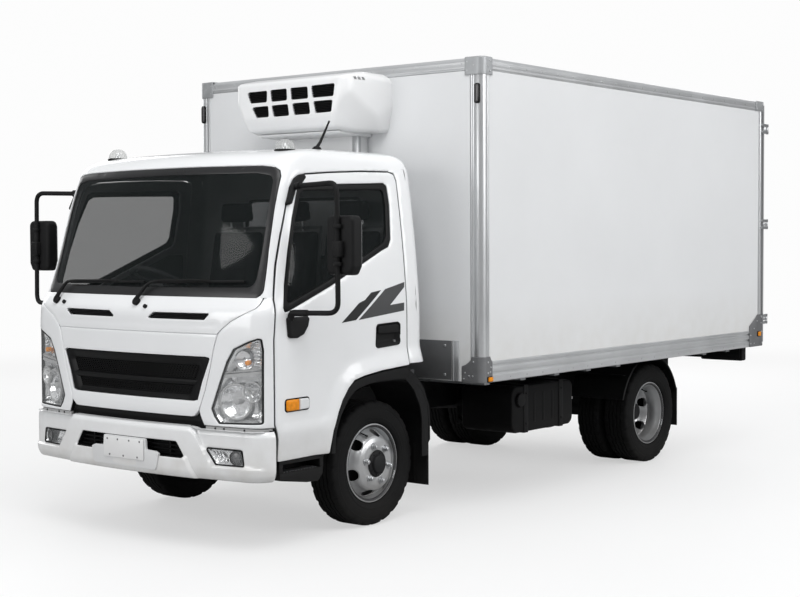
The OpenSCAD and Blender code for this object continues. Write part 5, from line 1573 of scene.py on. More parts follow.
# plate on the lower front wall
g = Geo()
g.add(*rbox(-640, -634.5, -1010, 1010, 848, 1098, 1.5, 2), 0)
for s in (-1, 1):
    g.add(*rbox(-640, -629, s * 1045 - 27, s * 1045 + 27, 844, 1101, 2, 2), 1)
    g.add(*rbox(-640, -626, s * 1030 - 4, s * 1030 + 4, 844, 1101, 2, 2), 1)
for y in (-960, -640, -320, 0, 320, 640, 960):
    for z in (880, 1066): rivets(g, [(-635, y, z)], (1, 0, 0), 9, 6, 2)
g.obj("front_wall_plate", [SHEET, ALUV, STEEL], "chassis", 35)
# cover strip at the top and roof sheet joints
g = Geo()
for x in np.arange(-4100, -800, 660.0):
    g.add(*rbox(x - 22, x + 22, -1172, 1172, 2876, 2881.5, 1.5, 2), 0)
    for y in np.arange(-1120, 1121, 160.0): rivets(g, [(x, y, 2881)], (0, 0, 1), 5, 2.6, 1)
g.obj("roof_joint_strips", [ALU, STEEL], "chassis", 35)

# ---------------------------------------------------------------- cooling unit
def unit_body():
    """convex moulding from its limiting planes, edges rounded; the openings are cut through its face afterwards in
    cooling_unit
    """
    x0 = -639.0
    from itertools import combinations
    planes = []
    def pl(n, p):
        n = np.array(n, float); n /= np.linalg.norm(n); planes.append((n, float(n @ np.array(p, float))))
    pl((-1, 0, 0), (x0, 0, 0)); pl((1, 0, 0.05), (-204, 0, 2600)); pl((0, 0, 1), (0, 0, 2826)); pl((0, 0, -1), (0, 0, 2440))
    pl((0.22, 0, 1), (-226, 0, 2786)); pl((0.95, 0, -0.42), (-206, 0, 2530)); pl((0.16, 0, -1), (-320, 0, 2452))
    for s in (-1, 1):
        pl((0.10, s, 0.02), (-300, s * 498, 2650)); pl((0.339, s * 0.855, -0.393), (-215, s * 506, 2760)); pl((0, s, -0.2), (-600, s * 506, 2480)); pl((0.75, s, 0), (-262, s * 492, 0)); pl((0, s, 1.6), (0, s * 500, 2800))
    pts = []
    for a, b, c in combinations(planes, 3):
        M = np.array([a[0], b[0], c[0]])
        if abs(np.linalg.det(M)) < 1e-6: continue
        p = np.linalg.solve(M, np.array([a[1], b[1], c[1]]))
        if all(n @ p <= d + 1e-3 for n, d in planes): pts.append(p)
    bm = bmesh.new()
    for p in np.unique(np.round(np.array(pts), 2), axis=0): bm.verts.new(p / 1000.0)
    bmesh.ops.convex_hull(bm, input=bm.verts)
    bmesh.ops.dissolve_limit(bm, angle_limit=math.radians(1.0), verts=bm.verts, edges=bm.edges)
    bmesh.ops.recalc_face_normals(bm, faces=bm.faces)
    bm.normal_update()
    ed = [e for e in bm.edges if len(e.link_faces) == 2 and e.calc_face_angle(0) > math.radians(8) and not all(abs(v.co.x - x0 / 1000) < 1e-4 for v in e.verts)]
    bmesh.ops.bevel(bm, geom=ed, offset=0.025, segments=6, profile=0.5, affect="EDGES", clamp_overlap=True)
    return bm


OPEN = [rounded(grow(q, 6.5), 13, 4) for q in (
    [(-326, 2658), (-187, 2658), (-187, 2722), (-356, 2721)], [(-134, 2658), (-6, 2660), (-12, 2725), (-147, 2724)], [(43, 2660), (178, 2661), (171, 2726), (33, 2727)], [(228, 2662), (395, 2663), (403, 2732), (215, 2729)],
    [(-273, 2559), (-165, 2560), (-173, 2621), (-309, 2620)], [(-115, 2558), (16, 2559), (3, 2623), (-133, 2622)], [(68, 2560), (200, 2560), (188, 2625), (52, 2625)], [(252, 2562), (381, 2564), (388, 2628), (236, 2628)])]


def evaluated_mesh(obj, name):
    dg = bpy.context.evaluated_depsgraph_get()
    dg.update()
    me = bpy.data.meshes.new_from_object(obj.evaluated_get(dg))
    me.name = name
    return me


def hull_vf(pts, r, seg):
    bm = bmesh.new()
    for p in pts: bm.verts.new(p)
    bmesh.ops.convex_hull(bm, input=bm.verts)
    bmesh.ops.dissolve_limit(bm, angle_limit=math.radians(1.0), verts=bm.verts, edges=bm.edges)
    bmesh.ops.recalc_face_normals(bm, faces=bm.faces)
    bmesh.ops.bevel(bm, geom=list(bm.edges), offset=r, segments=seg, profile=0.5, affect="EDGES", clamp_overlap=True)
    bm.verts.index_update()
    v = [tuple(q.co) for q in bm.verts]; f = [tuple(q.index for q in p.verts) for p in bm.faces]
    bm.free()
    return v, f


def cooling_unit():
    bm = unit_body()
    for v in bm.verts: v.co.x += FA
    me = bpy.data.meshes.new("unit_tmp"); bm.to_mesh(me); bm.free()
    base = bpy.data.objects.new("unit_tmp", me); SC.collection.objects.link(base)
    gc = Geo()
    for o in OPEN: gc.add(*prism(o, "x", -262, -150))
    for s in (-1, 1):
        for k in range(3):
            gc.add(*prism([(-400 + k * 36, 2764), (-374 + k * 36, 2764), (-364 + k * 36, 2782), (-390 + k * 36, 2782)], "y", 405 if s > 0 else -560, 560 if s > 0 else -405))
    mc = bpy.data.meshes.new("cut_tmp"); mc.from_pydata([tuple(W(p)) for p in gc.v], [], gc.f)
    b2 = bmesh.new(); b2.from_mesh(mc); bmesh.ops.recalc_face_normals(b2, faces=b2.faces); b2.to_mesh(mc); b2.free()
    cut = bpy.data.objects.new("cut_tmp", mc); SC.collection.objects.link(cut)
    md = base.modifiers.new("cut", "BOOLEAN"); md.object = cut; md.operation = "DIFFERENCE"; md.solver = "EXACT"
    res = evaluated_mesh(base, "cooling_unit_case")
    bpy.data.objects.remove(base); bpy.data.objects.remove(cut)
    for p in res.polygons: p.use_smooth = True
    res.set_sharp_from_angle(angle=math.radians(32))
    res.materials.clear(); res.materials.append(UNITW)
    o = bpy.data.objects.new("cooling_unit_case", res); SC.collection.objects.link(o)
    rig.ride(o, "chassis"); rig.replaces(o, "cooling_unit"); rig.slot(o, "body_panel")
    g = Geo()
    # louvres behind the openings
    g.add(*rbox(-250, -228, -352, 404, 2554, 2736, 1), 0)
    for z in np.arange(2560, 2732, 11.0):
        x = -206.5 - max(0.0, 2640 - z) * 0.03 if z < 2640 else -206.5 - (z - 2640) * 0.05
        g.add(*prism([(x - 16, z - 2), (x - 3, z + 4), (x - 3, z + 6), (x - 16, z + 2)], "y", -352 + max(0.0, 2640 - z) * 0.5, 404 - max(0.0, 2640 - z) * 0.3), 0)
    g.obj("cooling_unit_louvres", [BLACKP], "chassis", 35)
    g = Geo()
    # duct down the wall: folded sheet with cover strips
    g.add(*rbox(-639, -536, -328, 328, 1562, 2446, 6, 3), 0)
    for s in (-1, 1):
        g.add(*rbox(-562, -532, s * 305 - 26, s * 305 + 26, 1560, 2442, 3, 2), 1)
    g.add(*rbox(-566, -533, -326, 326, 1558, 1600, 3, 2), 1)
    for z in np.arange(1620, 2400, 150.0):
        for y in (-305, 305): rivets(g, [(-532, y, z)], (1, 0, 0), 6, 4, 2)
    # under tray
    g.add(*prism(rounded([(-636, 2420), (-330, 2430), (-300, 2448), (-636, 2448)], 5, 2), "y", -360, 360, 3, 2), 0)
    g.obj("cooling_duct", [UNITW, ALUV, STEEL], "chassis", 35)


cooling_unit()

# ---------------------------------------------------------------- rear doors
def load_door(side):
    body = "load_door_left" if side > 0 else "load_door_right"
    pre = "left" if side > 0 else "right"
    g = Geo()
    DX0, DX1 = -4776.0, -4710.0
    # leaf: white panel in an aluminium frame with a rubber seal
    g.add(*rbox(DX0 + 5, DX1 - 3, 46, 1194, 904, 2820, 2, 2), 0)
    fr = [(DX0, 0), (DX0 + 8, 0), (DX0 + 8, 46), (DX0, 50)]
    for y0, y1 in ((8, 52), (1188, 1234)):
        g.add(*rbox(DX0, DX1, y0, y1, 866, 2858, 4, 2), 1)
    for z0, z1 in ((866, 908), (2816, 2858)):
        g.add(*rbox(DX0 + 0.6, DX1 - 0.6, 50, 1190, z0, z1, 4, 2), 1)
    seal = [(4, 862), (1237, 862), (1237, 2862), (4, 2862)]
    for a, b in zip(seal, seal[1:] + seal[:1]):
        g.add(*tube([(DX1 - 8, a[0] + (4 if a[0] < 100 else -4), a[1] + (4 if a[1] < 1000 else -4)), (DX1 - 8, b[0] + (4 if b[0] < 100 else -4), b[1] + (4 if b[1] < 1000 else -4))], 4.6, 8), 2)
        g.add(*tube([(DX1 - 30, a[0] + (4 if a[0] < 100 else -4), a[1] + (4 if a[1] < 1000 else -4)), (DX1 - 30, b[0] + (4 if b[0] < 100 else -4), b[1] + (4 if b[1] < 1000 else -4))], 4.2, 8), 2)
    # hinges
    for z0 in (1060, 1860, 2660):
        g.add(*lathe([(0.5, -14), (9.5, -14), (10.5, -12.5), (10.5, 12.5), (9.5, 14), (0.5, 14)], (-4815, 1240, z0), "z", 28, closed=False), 3)
        g.add(*prism([(-4819, 1232), (-4809, 1242), (-4775, 1230), (-4775, 1020), (-4781, 1016), (-4783, 1100), (-4784, 1206)], "z", z0 - 13, z0 + 13, 2, 2), 3)
        rivets(g, [(-4783, y, z0 + s * 9) for y in (1050, 1110, 1170) for s in (-0.6, 0.6)], (-1, 0, 0), 4.5, 4, 4)
    # lock bars with guides, cams and handles
    for y in (220, 700):
        g.add(*tube([(-4782, y, 872), (-4782, y, 2850)], 11.5, 16), 3)
        for z in (960, 1300, 1750, 2250, 2740):
            g.add(*prism(rounded([(-4776, y - 30), (-4776, y + 30), (-4790, y + 16), (-4796, y + 8), (-4796, y - 8), (-4790, y - 16)], 3, 2), "z", z - 22, z + 22, 2, 2), 3)
            rivets(g, [(-4778, y + 23, z), (-4778, y - 23, z)], (-1, 0, 0), 5, 4, 4)
        for z0, z1 in ((868, 898), (2826, 2856)):
            g.add(*prism(rounded([(-4770, y - 18), (-4770, y + 18), (-4793, y + 12), (-4796, y), (-4793, y - 12)], 3, 2), "z", z0, z1, 3, 2), 3)
        # handle
        h = fillet_path([(-4782, y, 1420), (-4786, y + 20, 1420), (-4787, y + 60, 1420), (-4787, y + 250, 1420)], 14, 5)
        g.add(*tube(h, 8, 12), 3)
        g.add(*tube([(-4787, y + 150, 1420), (-4787, y + 258, 1420)], 9, 14), 2)
        g.add(*rbox(-4796, -4774, y + 205, y + 235, 1396, 1446, 4, 2), 3)
        g.add(*rbox(-4784, -4775, y + 170, y + 268, 1380, 1462, 3, 2), 4)
    # reflector strips and stop
    g.add(*rbox(-4779, -4774, 900, 1120, 1010, 1060, 1.5, 2), 5)
    g.add(*dome((-4776, 1150, 1500), (-1, 0, 0), 20, 0, 18, 24, 5), 2)
    if side > 0:
        g.add(*rbox(-4782, -4775, 6, 26, 880, 2850, 2, 2), 1)
    if side < 0:
        g.v = [(p[0], -p[1], p[2]) for p in g.v]; g.f = [tuple(reversed(f)) for f in g.f]
    g.obj(pre + "_load_door_leaf", [BOXW, ALUV, SEAL, STEEL, SHEET, RED], body, 35, replaces=("rear_door_" + pre,), slot="body_panel")


load_door(1)
load_door(-1)

# ---------------------------------------------------------------- tail lamps and rear frame
g = Geo()
g.add(*prism(rounded([(742, 708), (1123, 708), (1123, 834), (742, 834)], 14, 4), "x", -4676, -4602, 5, 3), 0)
for y0, y1, mi in ((1010, 1110, 1), (905, 1002, 2), (800, 897, 1), (752, 794, 3)):
    g.add(*prism(rounded([(y0, 722), (y1, 722), (y1, 820), (y0, 820)], 10, 4), "x", -4690, -4672, 6, 3), mi)
g.add(*rbox(-4660, -4620, 372, 748, 722, 758, 4, 2), 4)
g.add(*rbox(-4600, -4588, 760, 1105, 730, 812, 4, 2), 4)
g.mirror()
# frame bar across the rear, below the blank plate
g.add(*rbox(-4706, -4700, -262, 262, 560, 600, 2, 2), 4)
g.obj("tail_lamp_units", [BLACKP, RED, AMBER, CLEARL, FRAMEB], "chassis", 35, replaces=("tail_lamps",), slot="tail_lamp")
g = Geo()
g.add(*prism(rounded([(-260, 735), (260, 735), (260, 845), (-260, 845)], 8, 4), "x", -4713, -4708, 1.4, 2), 0)
for y in (-180, 180):
    g.add(*dome((-4711, y, 790), (-1, 0, 0), 6, 0, 5, 12, 4), 1)
g.add(*rbox(-4708, -4700, -200, 200, 760, 800, 2, 2), 2)
g.obj("rear_plate_blank", [PLATEW, STEEL, FRAMEB], "chassis", 35)
# ---------------------------------------------------------------- tyres and wheels
def tyre(g, cx, yc, cz, phase=0.0):
    """ribbed tread with zigzag grooves, notched shoulders and ringed sidewalls; no lettering"""
    NS = 192
    half = [(382, 0, 1), (382, 12, 1), (373, 14, 1), (373, 20, 1), (382, 22, 1), (382, 32, 0.6), (382, 43, 1), (373, 45, 1), (373, 51, 1), (382, 53, 1), (382, 61, 0), (381.6, 70, 0), (380, 80, 0),
            (377, 88, 0), (372, 93.5, 0), (366, 97, 0), (355, 100.6, 0), (346, 102.6, 0), (344, 104, 0), (338, 104.8, 0), (336, 103.8, 0), (328, 105.2, 0), (316, 106, 0), (302, 106.2, 0), (290, 105.2, 0), (282, 103.8, 0), (280, 105, 0), (274, 104.2, 0),
            (272, 102.4, 0), (262, 99.6, 0), (254, 95, 0), (248, 88.5, 0), (244, 81.5, 0), (240, 79.4, 0), (230, 78, 0), (224, 77, 0)]
    lines = [(r, -y, z) for r, y, z in reversed(half[1:])] + half
    m = len(lines)
    v, f = [], []
    for i in range(NS):
        a = 2 * math.pi * i / NS + phase
        tri = abs(((i % 6) / 6.0) * 2 - 1) * 2 - 1
        for r, y, z in lines:
            ay = abs(y); s = 1 if y >= 0 else -1
            yy = y + 3.4 * tri * z
            rr = r
            slot = (i + (4 if s < 0 else 0)) % 8 in (0, 1)
            if slot and 60 < ay < 90 and r > 374: rr = r - 7.0 * min(1.0, (ay - 55) / 12.0)
            if slot and 90 < ay < 98.5 and r > 360: rr = r - 3.0; yy = y - s * 3.2
            if 335 < r < 345 and i % 2: yy = y - s * 0.9
            v.append((cx + rr * math.cos(a), yc + yy, cz + rr * math.sin(a)))
    for i in range(NS):
        k = (i + 1) % NS
        for j in range(m - 1):
            f.append((i * m + j, i * m + j + 1, k * m + j + 1, k * m + j))
    g.add(v, f, 0)


DISC = hermite([60, 79, 86, 126, 136, 144, 156, 165, 176, 192, 201, 210], [116, 121, 124, 124, 122.6, 118.5, 116, 110, 95, 63, 50, 43])


def disc_angle(k): return math.radians(42 + 60 * k)


def wheel(g, cx, yc, cz, s, inv):
    """one pressed wheel: barrel, pierced disc, nuts, valve. s: outward side, inv: disc dished inwards"""
    t = -1 if inv else 1
    barrel = [(238, 79.2), (225, 76.5), (223, 62), (214, 42), (206, 22), (206, -22), (214, -50), (223, -62), (225, -76.5), (238, -79.2), (240.4, -82), (239.4, -86), (233, -87.4), (226, -85), (218, -77), (215, -63), (213, -55), (205, -44),
              (199, -22), (199, 22), (205, 40), (213, 56), (215, 64), (218, 76), (226, 85), (233, 87.4), (239.4, 86), (240.4, 82)]
    g.add(*lathe(barrel, (cx, yc, cz), (0, s, 0), 120), 0)
    # a dark skin laid just inside the barrel's valley, in the dark valley material: painted shade for the recess
    valley_shade_prof = [(234, 88.1), (229.5, 87.2), (226.2, 84.6), (219, 76.5), (216, 64), (214, 56), (206, 40), (200, 22), (200, -22), (206, -44)]
    g.add(*lathe([(r - 0.7, h) for r, h in valley_shade_prof], (cx, yc, cz), (0, s, 0), 120, closed=False), 3)
    def m(uv, depth):
        r = np.hypot(uv[:, 0], uv[:, 1])
        o = DISC(r)
        off = (-(o - 8.0) - depth) if inv else (o - depth)
        return np.stack([cx + uv[:, 0], yc + s * off, cz + uv[:, 1]], 1)
    ring = [(207.5 * math.cos(2 * math.pi * i / 120), 207.5 * math.sin(2 * math.pi * i / 120)) for i in range(120)]
    holes = [[(78 * math.cos(2 * math.pi * i / 64), 78 * math.sin(2 * math.pi * i / 64)) for i in range(64)]]
    for k in range(6):
        a = disc_angle(k)
        er, et = (math.cos(a), math.sin(a)), (-math.sin(a), math.cos(a))
        holes.append([(183 * er[0] + 20.5 * math.cos(p) * er[0] + 37 * math.sin(p) * et[0], 183 * er[1] + 20.5 * math.cos(p) * er[1] + 37 * math.sin(p) * et[1]) for p in [2 * math.pi * i / 36 for i in range(36)]])
    g.panel(panel_vf(ring, holes, mapf=m, thick=8.0, er=2.4, step=12), 0, 0)
    base = (-(124 - 8.0)) if inv else 124.0
    for k in range(6):
        a = disc_angle(k) + math.radians(30)
        p = (cx + 111 * math.cos(a), yc + s * base, cz + 111 * math.sin(a))
        g.add(*lathe([(9, -1), (23, -1), (23, 2), (21, 5), (9, 5)], p, (0, s, 0), 24), 2)
        hx = [(p[0] + 18 * math.cos(math.radians(60 * q) + a), p[2] + 18 * math.sin(math.radians(60 * q) + a)) for q in range(6)]
        ya, yb = p[1] + s * 3, p[1] + s * 19
        g.add(*prism(hx, "y", min(ya, yb), max(ya, yb), 1.4, 2), 2)
        g.add(*dome((p[0], p[1] + s * 17, p[2]), (0, s, 0), 12.5, 0, 14, 18, 4), 2)
    # valve
    a = disc_angle(0) + math.radians(26)
    e = np.array([math.cos(a), 0, math.sin(a)])
    c0 = np.array([cx, yc, cz])
    o1 = 64.0
    pth = [tuple(c0 + e * 207 + np.array([0, s * 50.0, 0])), tuple(c0 + e * 198 + np.array([0, s * 74.0, 0])), tuple(c0 + e * 190 + np.array([0, s * 98.0, 0]))]
    g.add(*tube(fillet_path(pth, 12, 4), 4.6, 10), 1)
    g.add(*dome(tuple(c0 + e * 190 + np.array([0, s * 94.0, 0])), (e[0] * -0.3, s, e[2] * -0.3), 6, 0, 16, 14, 3), 1)
    # clip-on balance weight on the flange
    for k in range(4):
        b = math.radians(200 + 3.2 * k)
        g.add(*dome((cx + 229 * math.cos(b), yc + s * 86, cz + 229 * math.sin(b)), (0, s, 0), 6.5, -2, 4, 10, 3), 2)


def drum(g, cx, yc, cz, s):
    """finned brake drum behind the disc"""
    prof = [(78, 34), (150, 34), (160, 28), (163, 20)]
    for k in range(5):
        o = 14 - k * 14
        prof += [(163, o), (168, o - 2), (168, o - 6), (163, o - 8)]
    prof += [(163, -62), (152, -62), (150, 16), (78, 18)]
    g.add(*lathe(prof, (cx, yc, cz), (0, s, 0), 72), 1)


for s, nm in ((1, "left"), (-1, "right")):
    g = Geo(); tyre(g, 0, s * 792, 382, 0.02 * s)
    g.obj("front_%s_tread_tyre" % nm, [RUBBER], "front_%s_wheel" % nm, 24, replaces=("front_%s_tyre" % nm,), slot="tyre_black")
    g = Geo()
    wheel(g, 0, s * 792, 382, s, False)
    drum(g, 0, s * 792, 382, s)
    hub = [(0.5, 154), (24, 154), (30, 152.5), (46, 151), (54, 147), (57, 140), (58, 133), (70, 131), (79, 128), (83, 123), (83, 40), (34, 40), (34, 110), (0.5, 110)]
    g.add(*lathe(hub, (0, s * 792, 382), (0, s, 0), 72, closed=False), 1)
    for k in range(8):
        a = 2 * math.pi * k / 8 + 0.2
        g.add(*dome((67 * math.cos(a), s * (792 + 129), 382 + 67 * math.sin(a)), (0, s, 0), 5.5, 0, 8, 12, 3), 1)
    g.obj("front_%s_pressed_wheel" % nm, [RIM, CAST, STEEL, RIM_VALLEY_SHADE], "front_%s_wheel" % nm, 35, replaces=("front_%s_rim" % nm,), slot="rim_silver")
    g = Geo(); tyre(g, -3300, s * 871, 382, 0.5); tyre(g, -3300, s * 631, 382, 0.9)
    g.obj("rear_%s_tread_tyres" % nm, [RUBBER], "rear_%s_wheel" % nm, 24, replaces=("rear_%s_tyres" % nm,), slot="tyre_black")
    g = Geo()
    wheel(g, -3300, s * 871, 382, s, True)
    wheel(g, -3300, s * 631, 382, s, False)
    drum(g, -3300, s * 606, 382, s)
    hub = [(0.5, 850), (30, 850), (52, 848), (60, 844), (63, 838), (64, 812), (74, 809), (86, 806), (89, 800), (90, 792), (90, 616), (40, 616), (0.5, 616)]
    g.add(*lathe(hub, (-3300, 0, 382), (0, s, 0), 72, closed=False), 1)
    for k in range(8):
        a = 2 * math.pi * k / 8
        g.add(*dome((-3300 + 76 * math.cos(a), s * 807, 382 + 76 * math.sin(a)), (0, s, 0), 6.5, 0, 9, 12, 3), 2)
    g.obj("rear_%s_pressed_wheels" % nm, [RIM, CAST, STEEL, RIM_VALLEY_SHADE], "rear_%s_wheel" % nm, 35, replaces=("rear_%s_rims" % nm,), slot="rim_silver")

# ---------------------------------------------------------------- seats
def padmesh(name, verts, faces, voxel, cap, pressure, pin):
    """swell a closed pad with Cloth, with its travel held to cap; pin(co) marks what rests on the frame"""
    me = bpy.data.meshes.new(name); me.from_pydata([tuple(W(v)) for v in verts], [], faces)
    b = bmesh.new(); b.from_mesh(me); bmesh.ops.recalc_face_normals(b, faces=b.faces); b.to_mesh(me); b.free()
    o = bpy.data.objects.new(name, me); SC.collection.objects.link(o)
    rm = o.modifiers.new("remesh", "REMESH"); rm.mode = "VOXEL"; rm.voxel_size = voxel
    me2 = evaluated_mesh(o, name + "_pad")
    bpy.data.objects.remove(o)
    rest = np.array([v.co[:] for v in me2.vertices])
    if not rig.quick():
        o = bpy.data.objects.new(name + "_sim", me2.copy()); SC.collection.objects.link(o)
        vg = o.vertex_groups.new(name="held")
        ids = [i for i, c in enumerate(rest) if pin(c)]
        if ids: vg.add(ids, 1.0, "REPLACE")
        cl = o.modifiers.new("cloth", "CLOTH")
        st = cl.settings
        st.quality = 4; st.mass = 0.25; st.tension_stiffness = 12; st.compression_stiffness = 12; st.shear_stiffness = 6; st.bending_stiffness = 0.6
        st.use_pressure = True; st.uniform_pressure_force = pressure
        st.effector_weights.gravity = 0.0
        if ids: st.vertex_group_mass = "held"
        cl.collision_settings.use_collision = False
        cl.point_cache.frame_start = 1; cl.point_cache.frame_end = 20
        for fr in range(1, 21): SC.frame_set(fr)
        sm = evaluated_mesh(o, name + "_swollen")
        new = np.array([v.co[:] for v in sm.vertices])
        bpy.data.objects.remove(o)
        SC.frame_set(1)
    else:
        new = rest + np.array([v.normal[:] for v in me2.vertices]) * cap * 0.8
    d = new - rest
    ln = np.linalg.norm(d, axis=1, keepdims=True)
    d = d * np.minimum(1.0, cap / np.maximum(ln, 1e-9))
    return me2, rest + d


def seam(P, dist, width, depth, Nn):
    """press a sewn line into the pad"""
    w = np.exp(-(dist / width) ** 2)[:, None]
    return P - Nn * w * depth


def pad_object(name, me, P, seams, mat, fill):
    for i, v in enumerate(me.vertices): v.co = P[i]
    me.update()
    Nn = np.array([v.normal[:] for v in me.vertices])
    Q = P.copy()
    for fn, wd, dp in seams: Q = seam(Q, fn(P, Nn), wd, dp, Nn)
    for i, v in enumerate(me.vertices): v.co = Q[i]
    o = bpy.data.objects.new(name, me); SC.collection.objects.link(o)
    md = o.modifiers.new("smooth", "SUBSURF"); md.levels = 1; md.render_levels = 1
    m2 = evaluated_mesh(o, name)
    bpy.data.objects.remove(o); bpy.data.meshes.remove(me)
    for p in m2.polygons: p.use_smooth = True
    m2.materials.clear(); m2.materials.append(mat)
    o = bpy.data.objects.new(name, m2); SC.collection.objects.link(o)
    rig.ride(o, "cab"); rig.replaces(o, "seats"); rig.slot(o, "seat_fabric"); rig.padded(o, fill)
    return o


def seat_pads():
    hw = 222.0
    # cushion: crowned, with side bolsters, open underneath on its pan
    cu = rounded([(-205, 1142), (288, 1142), (322, 1190), (304, 1266), (-80, 1246), (-212, 1238)], [22, 30, 40, 34, 10, 26], 5)
    cv, cf = prism(cu, "y", -hw, hw, 34, 4)
    me_c, Pc = padmesh("cushion", cv, cf, 0.0145, 0.014, 5.0, lambda c: c[2] < 1.150)
    # backrest
    bk = rounded([(-96, 1262), (-196, 1806), (-262, 1812), (-220, 1262)], [40, 30, 30, 36], 5)
    bv, bf = prism(bk, "y", -hw, hw, 30, 4)
    me_b, Pb = padmesh("backrest", bv, bf, 0.0145, 0.014, 5.0, lambda c: c[0] - FA < -0.245 + (c[2] - 1.262) * -0.07)
    hd = rounded([(-172, 1862), (-182, 1990), (-240, 1994), (-258, 1872)], [24, 26, 26, 22], 5)
    hv, hf = prism(hd, "y", -128, 128, 24, 4)
    me_h, Ph = padmesh("headrest", hv, hf, 0.012, 0.009, 5.0, lambda c: False)
    f3 = lambda c, n: (c / 1000.0)
    table = [("driver_seat", -470, 1.0), ("middle_seat", 70, 380.0 / 480.0), ("passenger_seat", 545, 1.0)]
    for nm, y, k in table:
        sc = np.array([1, k, 1]); off = np.array([0, y / 1000.0, 0])
        up = lambda P, Nn: np.where(Nn[:, 2] > 0.25, 0.0, 1.0)
        cs = [(lambda P, Nn, q=q: np.abs(P[:, 1] - y / 1000 - q * k * 0.135) + up(P, Nn) * 0.0 + np.where(P[:, 2] < 1.16, 1.0, 0.0), 0.0085, 0.0085) for q in (-1, 1)]
        cs += [(lambda P, Nn, q=q: np.abs(P[:, 0] - FA - q) + up(P, Nn) + np.where(np.abs(P[:, 1] - y / 1000) > 0.135 * k, 1.0, 0.0), 0.0085, 0.006) for q in (0.06, 0.16)]
        cs += [(lambda P, Nn: np.abs(P[:, 2] - 1.212) + np.where(np.abs(Nn[:, 2]) > 0.6, 1.0, 0.0), 0.006, 0.004)]
        pad_object(nm + "_cushion", me_c.copy(), Pc * sc + off, cs, FABRIC, 0.75)
        fr = lambda P, Nn: np.where(Nn[:, 0] > 0.25, 0.0, 1.0)
        bs = [(lambda P, Nn, q=q: np.abs(P[:, 1] - y / 1000 - q * k * 0.135) + fr(P, Nn), 0.0085, 0.0085) for q in (-1, 1)]
        bs += [(lambda P, Nn, q=q: np.abs(P[:, 2] - q) + fr(P, Nn) + np.where(np.abs(P[:, 1] - y / 1000) > 0.135 * k, 1.0, 0.0), 0.0085, 0.006) for q in (1.42, 1.54, 1.66)]
        pad_object(nm + "_back", me_b.copy(), Pb * sc + off, bs, FABRIC, 0.75)
        hs = [(lambda P, Nn: np.abs(np.abs(P[:, 1] - y / 1000) - 0.09 * k), 0.006, 0.004)]
        pad_object(nm + "_headrest", me_h.copy(), Ph * sc + off, hs, FABRIC, 0.8)


seat_pads()
g = Geo()
for y, w_, fz, ya, yb in ((-470, 480, 936, -690, -380), (70, 380, 1086, -80, 220), (545, 480, 936, 390, 760)):
    # pedestal with a recessed face, slide rails, pan and back shell
    if fz < 1000:
        g.add(*prism(rounded([(-176, fz), (236, fz), (226, 1092), (-166, 1092)], [10, 10, 24, 24], 4), "y", ya + 4, yb - 4, 6, 3), 0)
        g.add(*rbox(-120, 180, yb - 6, yb + 1, fz + 40, 1060, 3, 2), 1)
        g.add(*rbox(222, 236, ya + 40, yb - 40, fz + 30, 1060, 4, 2), 1)
    else:
        g.add(*rbox(-170, 230, ya + 4, yb - 4, fz, 1100, 6, 3), 0)
    for q in (-1, 1):
        yy = y + q * w_ * 0.3
        g.add(*rbox(-190, 250, yy - 16, yy + 16, 1090, 1110, 3, 2), 2)
    g.add(*prism(rounded([(-214, 1106), (292, 1106), (316, 1150), (300, 1156), (-214, 1156)], [16, 16, 10, 6, 10], 3), "y", y - w_ / 2 + 22, y + w_ / 2 - 22, 6, 2), 1)
    g.add(*prism(rounded([(-214, 1150), (-228, 1240), (-278, 1828), (-268, 1836), (-252, 1816), (-204, 1236), (-196, 1150)], 6, 3), "y", y - w_ / 2 + 20, y + w_ / 2 - 20, 5, 2), 1)
    for q in (-1, 1):
        yy = y + q * w_ * 0.13
        g.add(*tube([(-222, yy, 1800), (-216, yy, 1900)], 6.5, 12), 2)
        g.add(*lathe([(7, -8), (15, -8), (15, 4), (12, 8), (7, 8)], (-224, yy, 1822), (0.05, 0, 1), 20), 1)
    # recline cover and lever
    g.add(*prism(rounded([(-236, 1166), (-120, 1166), (-110, 1210), (-170, 1300), (-226, 1300), (-246, 1230)], 14, 4), "y", y + w_ / 2 - 22, y + w_ / 2 - 8, 5, 3), 1)
    g.add(*tube(fillet_path([(-150, y + w_ / 2 - 8, 1200), (-60, y + w_ / 2 - 4, 1196), (-20, y + w_ / 2 - 4, 1190)], 8, 4), 8, 10), 1)
g.obj("seat_frames", [DASH, GREYP, STEEL], "cab", 35, slot="interior_grey")

# ---------------------------------------------------------------- dashboard and steering wheel
g = Geo()
dp = rounded([(1006, 1124), (1036, 1200), (1036, 1328), (986, 1384), (860, 1398), (792, 1358), (774, 1262), (822, 1134)], [16, 20, 20, 22, 30, 34, 26, 22], 5)
g.add(*prism(dp, "y", -846, 846, 10, 3), 0)
# binnacle over the dials
bn = rounded([(792, 1372), (900, 1388), (886, 1432), (838, 1456), (782, 1446), (768, 1428), (806, 1424)], [6, 20, 22, 20, 8, 6, 10], 4)
g.add(*prism(bn, "y", -650, -292, 12, 3), 0)
dn = np.array([-0.94, 0, 0.34])
for yy, rr in ((-560, 48), (-470, 34), (-382, 48)):
    c = np.array([806, yy, 1398.0])
    g.add(*lathe([(rr - 4, -10), (rr + 4, -10), (rr + 4, 4), (rr + 1, 8), (rr - 3, 6), (rr - 4, 0)], tuple(c), tuple(dn), 48), 2)
    g.add(*dome(tuple(c - dn * 6), tuple(dn), rr - 3, 0, 4, 40, 3), 3)
    g.add(*dome(tuple(c), tuple(dn), 5, 0, 6, 14, 3), 1)
    g.add(*tube([tuple(c + dn * 3), tuple(c + dn * 3 + np.array([0.3, 0.75, 0.6]) * (rr - 10))], 1.6, 6), 4)
